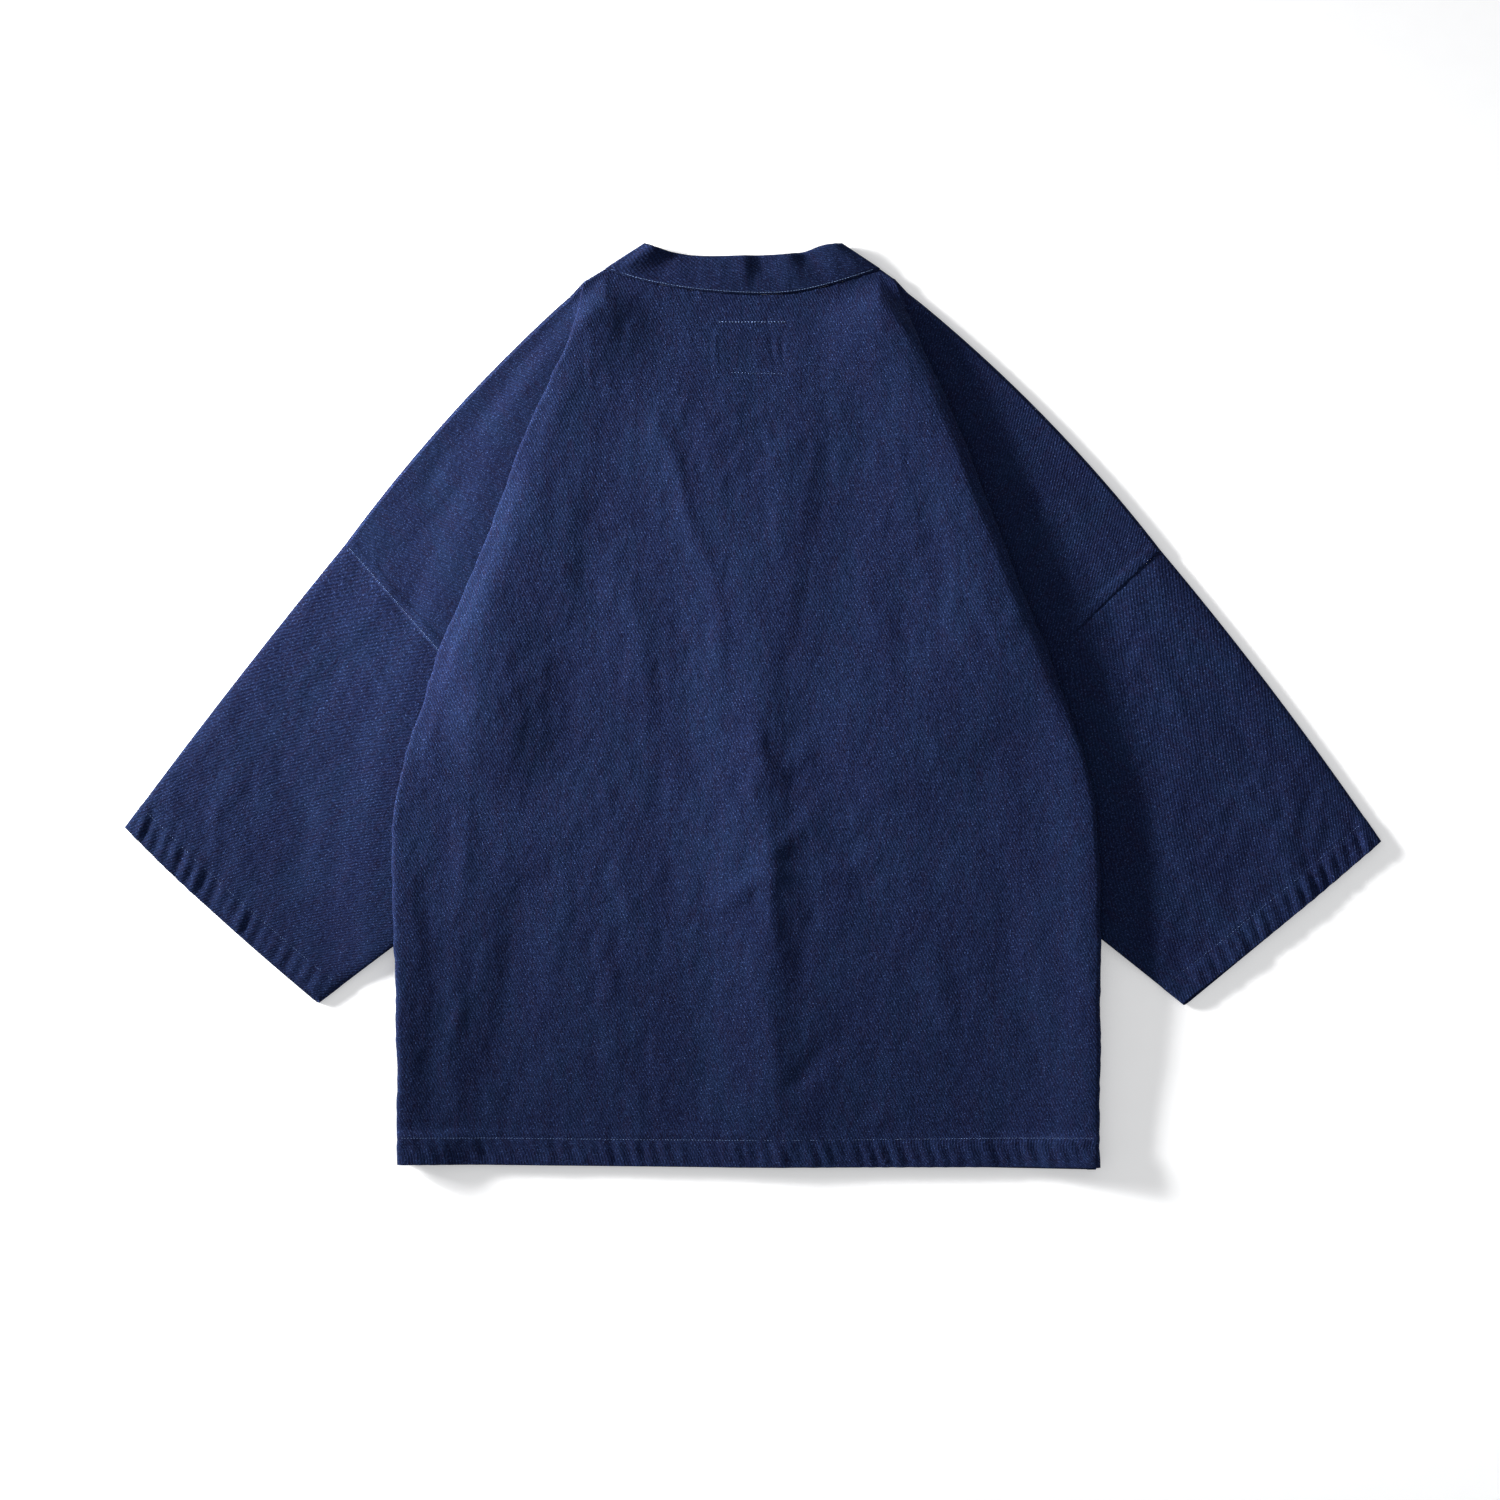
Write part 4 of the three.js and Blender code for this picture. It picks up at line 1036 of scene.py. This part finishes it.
def make_stitches(name, lines):
    """Every line is (points along the row on the cloth, pitch, length, width) in millimetres."""
    rng = np.random.default_rng(7)
    vertices, faces = [], []
    for path, pitch, length, width in lines:
        path = np.asarray(path, float)
        steps = np.concatenate([[0], np.cumsum(np.linalg.norm(np.diff(path, axis=0), axis=1))])
        count = int(steps[-1] / pitch)
        for i in range(count):
            at = (i + 0.5) * pitch + rng.uniform(-0.12, 0.12) * pitch
            size = length * rng.uniform(0.82, 1.1)
            ends = [np.array([np.interp(v, steps, path[:, k]) for k in range(3)])
                    for v in (at - size / 2, at + size / 2)]
            way = (ends[1] - ends[0]) / np.linalg.norm(ends[1] - ends[0])
            beside = np.cross([0, 0, 1.0], way)
            beside /= np.linalg.norm(beside)
            beside = beside + way * rng.uniform(-0.12, 0.12)
            up = np.cross(way, beside)
            body = (STITCH_POINTS[:, :1] * size * way + STITCH_POINTS[:, 1:2] * width * beside
                    + STITCH_POINTS[:, 2:] * width * 0.9 * up)
            faces.append(STITCH_FACES + len(vertices) * len(STITCH_POINTS))
            vertices.append(body + (ends[0] + ends[1]) / 2)
    return place_mesh(name, np.concatenate(vertices), np.concatenate(faces))


THREAD_RISE = 0.12  # a stitch's middle is this far above the cloth


def on_back(xs, ys):
    z = np.where(xs < centre_x(ys), back_height("left", xs, ys), back_height("right", xs, ys))
    return np.column_stack([xs, ys, z + back_wall(xs, ys) / 2 + THREAD_RISE])


def straight(a, b, step=3.0):
    count = max(2, int(math.hypot(b[0] - a[0], b[1] - a[1]) / step) + 1)
    return np.linspace(a[0], b[0], count), np.linspace(a[1], b[1], count)


def hem_line():
    xs = np.linspace(-302, 293.5, 240)
    return on_back(xs, read_table(STITCH_LINE, "x", "y", xs))


NAPE_STITCH = 1.6  # the band's stitching is this far above its seam
ARMHOLE_STITCH = 1.3  # and the left armhole's this far inside its own


def nape_line():
    xs = np.linspace(-122, 105, 90)
    ys = read_table(NECK_SEAM, "x", "y", xs) + NAPE_STITCH
    share = NAPE_STITCH / BAND_WIDTH
    wave = read_table(COLLAR_WAVES, "x", "z", xs) * share ** BAND_LIFT
    z = COLLAR_HIGH + BAND_CLOTH / 2 + band_crown(share) + wave + 2 * THREAD_RISE
    return np.column_stack([xs, ys, z])


def cuff_line(side):
    across = np.linspace(0.03, 0.97, 90)
    along = 1 - CUFF_STITCH / sleeve_length(side)
    plan = sleeve_plan(side, along, across, 0)
    z = sleeve_top(side, along, across, plan) + HEM_CLOTH / 2
    return np.column_stack([plan, z + THREAD_RISE])


def armhole_line(side):
    plan = armhole_seam(side, np.linspace(0.012, 0.93, 120))
    plan = plan - outward(side, "shoulder", "sleeve_corner") * ARMHOLE_STITCH
    z = strip_top_height(side, plan[:, 0], plan[:, 1]) + CLOTH / 2 + THREAD_RISE * 0.5
    return np.column_stack([plan, z])


# ---- materials
class Nodes:
    """Short calls for one material's nodes."""

    def __init__(self, name):
        self.material = bpy.data.materials.new(name)
        self.material.use_nodes = True
        self.tree = self.material.node_tree
        self.tree.nodes.clear()

    def add(self, kind, inputs={}, **settings):
        node = self.tree.nodes.new(kind)
        for key, value in settings.items():
            setattr(node, key, value)
        for key, value in inputs.items():
            if isinstance(value, bpy.types.NodeSocket):
                self.tree.links.new(value, node.inputs[key])
            else:
                node.inputs[key].default_value = value
        return node

    def math(self, operation, *values):
        return self.add("ShaderNodeMath", dict(enumerate(values)), operation=operation).outputs[0]

    def weigh(self, *pairs):
        """Sum of values times their weights."""
        parts = [self.math("MULTIPLY", value, weight) for value, weight in pairs]
        total = parts[0]
        for part in parts[1:]:
            total = self.math("ADD", total, part)
        return total

    def noise(self, vector, scale, stretch=(1, 1, 1), detail=2.0):
        mapping = self.add("ShaderNodeMapping", {"Vector": vector, "Scale": stretch})
        return self.add("ShaderNodeTexNoise", {
            "Vector": mapping.outputs[0], "Scale": scale, "Detail": detail}).outputs["Fac"]

    def ramp(self, value, low, high, start=0.0, end=1.0):
        return self.add("ShaderNodeMapRange", {
            "Value": value, "From Min": low, "From Max": high, "To Min": start, "To Max": end},
            clamp=True).outputs[0]

    def blend(self, factor, a, b):
        return self.add("ShaderNodeMix", {0: factor, 6: a, 7: b}, data_type="RGBA").outputs[2]

    def bump(self, height, strength, distance):
        return self.add("ShaderNodeBump", {
            "Height": height, "Strength": strength, "Distance": distance}).outputs[0]

    def finish(self, inputs):
        shader = self.add("ShaderNodeBsdfPrincipled", inputs)
        self.add("ShaderNodeOutputMaterial", {0: shader.outputs[0]})
        return self.material


WALE, SWAY = 2.3, 1.0  # distance between two twill lines and how far they wander, in millimetres
NAVY = (0.0015, 0.0036, 0.0245, 1)
PLUM = (0.0033, 0.0036, 0.0215, 1)
TEAL = (0.0018, 0.0074, 0.0310, 1)
PALE = (0.0215, 0.0430, 0.1450, 1)
SPECK = (0.0700, 0.1200, 0.3000, 1)
PAINTED_GROOVE_SHADE = (0.0012, 0.0016, 0.007, 1)  # painted shade in the grooves between the twill lines
THREAD_DARK, THREAD_LIGHT = (0.090, 0.140, 0.27, 1), (0.150, 0.210, 0.37, 1)


def twill(name, lean, seed):
    n = Nodes(name)
    cloth = n.add("ShaderNodeUVMap", uv_map="Cloth").outputs[0]
    moved = n.add("ShaderNodeVectorMath", {0: cloth, 1: (seed * 0.37, seed * 0.23, 0)},
                  operation="ADD").outputs[0]
    split = n.add("ShaderNodeSeparateXYZ", {0: moved})
    angle = math.radians(lean)
    sway = (n.noise(moved, 90, detail=1.0), SWAY * MM)
    across = n.weigh((split.outputs[0], math.cos(angle)), (split.outputs[1], math.sin(angle)), sway)
    line = n.ramp(n.math("SINE", n.math("MULTIPLY", across, 2 * math.pi / (WALE * MM))), -0.9, 0.9)
    thread = n.noise(moved, 900, (1, 0.35, 1))
    slub = n.noise(moved, 420, (1, 0.16, 1))
    weft = n.noise(moved, 380, (0.2, 1, 1))
    cloud = n.noise(moved, 26, (1, 0.55, 1), 3.0)
    patch = n.noise(moved, 75, (1, 0.4, 1))
    ripple = n.noise(moved, 150, (1, 0.6, 1))
    base = n.blend(n.ramp(cloud, 0.38, 0.62), NAVY, TEAL)
    base = n.blend(n.ramp(n.weigh((slub, 0.6), (patch, 0.4)), 0.48, 0.62), base, PLUM)
    # Painted highlight: pale colour on the raised twill ridges, broken up by the weft.
    ridge_highlight = n.math("MULTIPLY", line, n.ramp(weft, 0.35, 0.65))
    # The pale blend is the yarn's own pale streaks plus the painted highlight on the ridges.
    light = n.weigh((n.ramp(thread, 0.42, 0.7), 0.5), (ridge_highlight, 0.3))
    colour = n.blend(n.math("MULTIPLY", light, 0.55), base, PALE)
    # Painted shade: the grooves between the twill lines are darkened towards this colour.
    groove_shade = n.math("MULTIPLY", n.math("SUBTRACT", 1.0, line), 0.32)
    colour = n.blend(groove_shade, colour, PAINTED_GROOVE_SHADE)
    speck = n.math("MULTIPLY", n.ramp(n.noise(moved, 760, detail=1.0), 0.60, 0.74), 0.42)
    height = n.weigh((line, 0.40), (thread, 0.7), (slub, 0.35), (ripple, 1.6))
    return n.finish({
        "Base Color": n.blend(speck, colour, SPECK),
        "Roughness": n.ramp(thread, 0.3, 0.7, 0.82, 0.95), "Normal": n.bump(height, 0.7, 0.0005),
        "Specular IOR Level": 0.10, "Sheen Weight": 0.03, "Sheen Roughness": 0.5,
        "Sheen Tint": (0.35, 0.5, 1.0, 1)})


def thread_material():
    n = Nodes("sewing_thread")
    ply = n.noise(n.add("ShaderNodeTexCoord").outputs["Object"], 1400)
    return n.finish({
        "Base Color": n.blend(n.ramp(ply, 0.35, 0.65), THREAD_DARK, THREAD_LIGHT),
        "Roughness": 0.6, "Normal": n.bump(ply, 0.3, 0.0002), "Specular IOR Level": 0.0})


FLOOR_GLOW = 0.28  # keeps the floor white beyond the garment's shadow


def floor_material():
    n = Nodes("floor")
    grain = n.noise(n.add("ShaderNodeTexCoord").outputs["Object"], 60)
    return n.finish({
        "Base Color": n.blend(grain, (0.86, 0.86, 0.86, 1), (0.90, 0.90, 0.90, 1)),
        "Roughness": 0.95, "Specular IOR Level": 0.1,
        "Emission Color": (1, 1, 1, 1), "Emission Strength": FLOOR_GLOW})


pieces = {"back": make_back(), "collar": make_collar()}
for side in SIDES:
    pieces[f"front_{side}"] = make_front(side)
    pieces[f"sleeve_{side}"] = make_sleeve(side)

TWILLS = {  # name, and lean of the twill lines in degrees
    "back": ("back", 28), "front": ("front", 28), "sleeve": ("sleeve", 28), "collar": ("band", 62),
}
looks = {part: twill(f"indigo_twill_{name}", lean, seed)
         for seed, (part, (name, lean)) in enumerate(TWILLS.items(), 1)}
for node, piece in pieces.items():
    part = node.split("_")[0]
    piece.data.materials.append(looks[part])
    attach(piece, "root")
    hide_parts(node)

thread = thread_material()
STITCHES = {
    "back": [
        (hem_line(), 2.6, 1.6, 0.36),
        (on_back(*straight((-30, 331), (29, 331))), 2.8, 1.7, 0.8),
        (on_back(*straight((-19, 287), (27, 286))), 2.8, 1.3, 0.42),
        (armhole_line("left"), 2.2, 1.9, 0.30),
    ],
    "collar": [(nape_line(), 2.4, 2.2, 0.5)],
    "sleeve_left": [(cuff_line("left"), 3.0, 1.6, 0.30)],
    "sleeve_right": [(cuff_line("right"), 3.0, 1.5, 0.26)],
}
for node, lines in STITCHES.items():
    sewn = make_stitches(f"stitches_{node}", lines)
    sewn.data.materials.append(thread)
    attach(sewn, "root")

# ---- floor, light and camera
FLOOR_HALF, FLOOR_SINK = 7000, (0, 0, -0.2)
corners = np.array([(-1, -1, 0), (1, -1, 0), (1, 1, 0), (-1, 1, 0)]) * FLOOR_HALF + FLOOR_SINK
floor = place_mesh("floor", corners, np.array([(0, 1, 2, 3)]))
floor.data.materials.append(floor_material())
floor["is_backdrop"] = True

KEY_TURN, KEY_ELEVATION = math.radians(162), math.radians(13)  # low light from the left
KEY_WAY = Vector((math.cos(KEY_TURN) * math.cos(KEY_ELEVATION),
                  math.sin(KEY_TURN) * math.cos(KEY_ELEVATION), math.sin(KEY_ELEVATION)))
LAMPS = {  # aim on the floor, distance, size, spread, power
    "wide": ((0.0, 0.0, 0.0), 3.0, (1.1, 0.40), 120, 84),
    "beam": ((0.04, 0.03, 0.0), 1.8, (0.55, 0.22), 34, 4.8),
}
for name, (aim, distance, size, spread, power) in LAMPS.items():
    light = bpy.data.lights.new(name, "AREA")
    light.shape = "RECTANGLE"
    light.size, light.size_y = size
    light.spread = math.radians(spread)
    light.energy = power
    lamp = place(name, light)
    lamp.location = Vector(aim) + KEY_WAY * distance
    lamp.rotation_euler = KEY_WAY.to_track_quat("Z", "Y").to_euler()

WORLD_LIGHT, WORLD_COLOUR = 0.46, (0.97, 0.98, 1.0, 1)
world = bpy.data.worlds.new("studio")
bpy.context.scene.world = world
world.use_nodes = True
background = world.node_tree.nodes["Background"]
background.inputs[0].default_value = WORLD_COLOUR
background.inputs[1].default_value = WORLD_LIGHT
bpy.context.scene.view_settings.view_transform = "Standard"

LENS, SENSOR = 85, 36
VIEW_WIDTH = 1.29  # width of the floor that the picture shows
VIEW_CENTRE = (-0.0026, -0.0370)
CLOTH_LEVEL = 0.005
camera = place("camera", bpy.data.cameras.new("camera"))
camera.data.lens = LENS
camera.data.sensor_width = SENSOR
camera.data.clip_end = 50
camera.location = (*VIEW_CENTRE, CLOTH_LEVEL + VIEW_WIDTH * LENS / SENSOR)
bpy.context.scene.camera = camera

# ---- boxes of the CAD solids and of the scene, gathered in a dict that is not kept
({"cad": [list(corner) for corner in CAD_BOX],
           "visual": [list(corner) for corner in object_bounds()]})
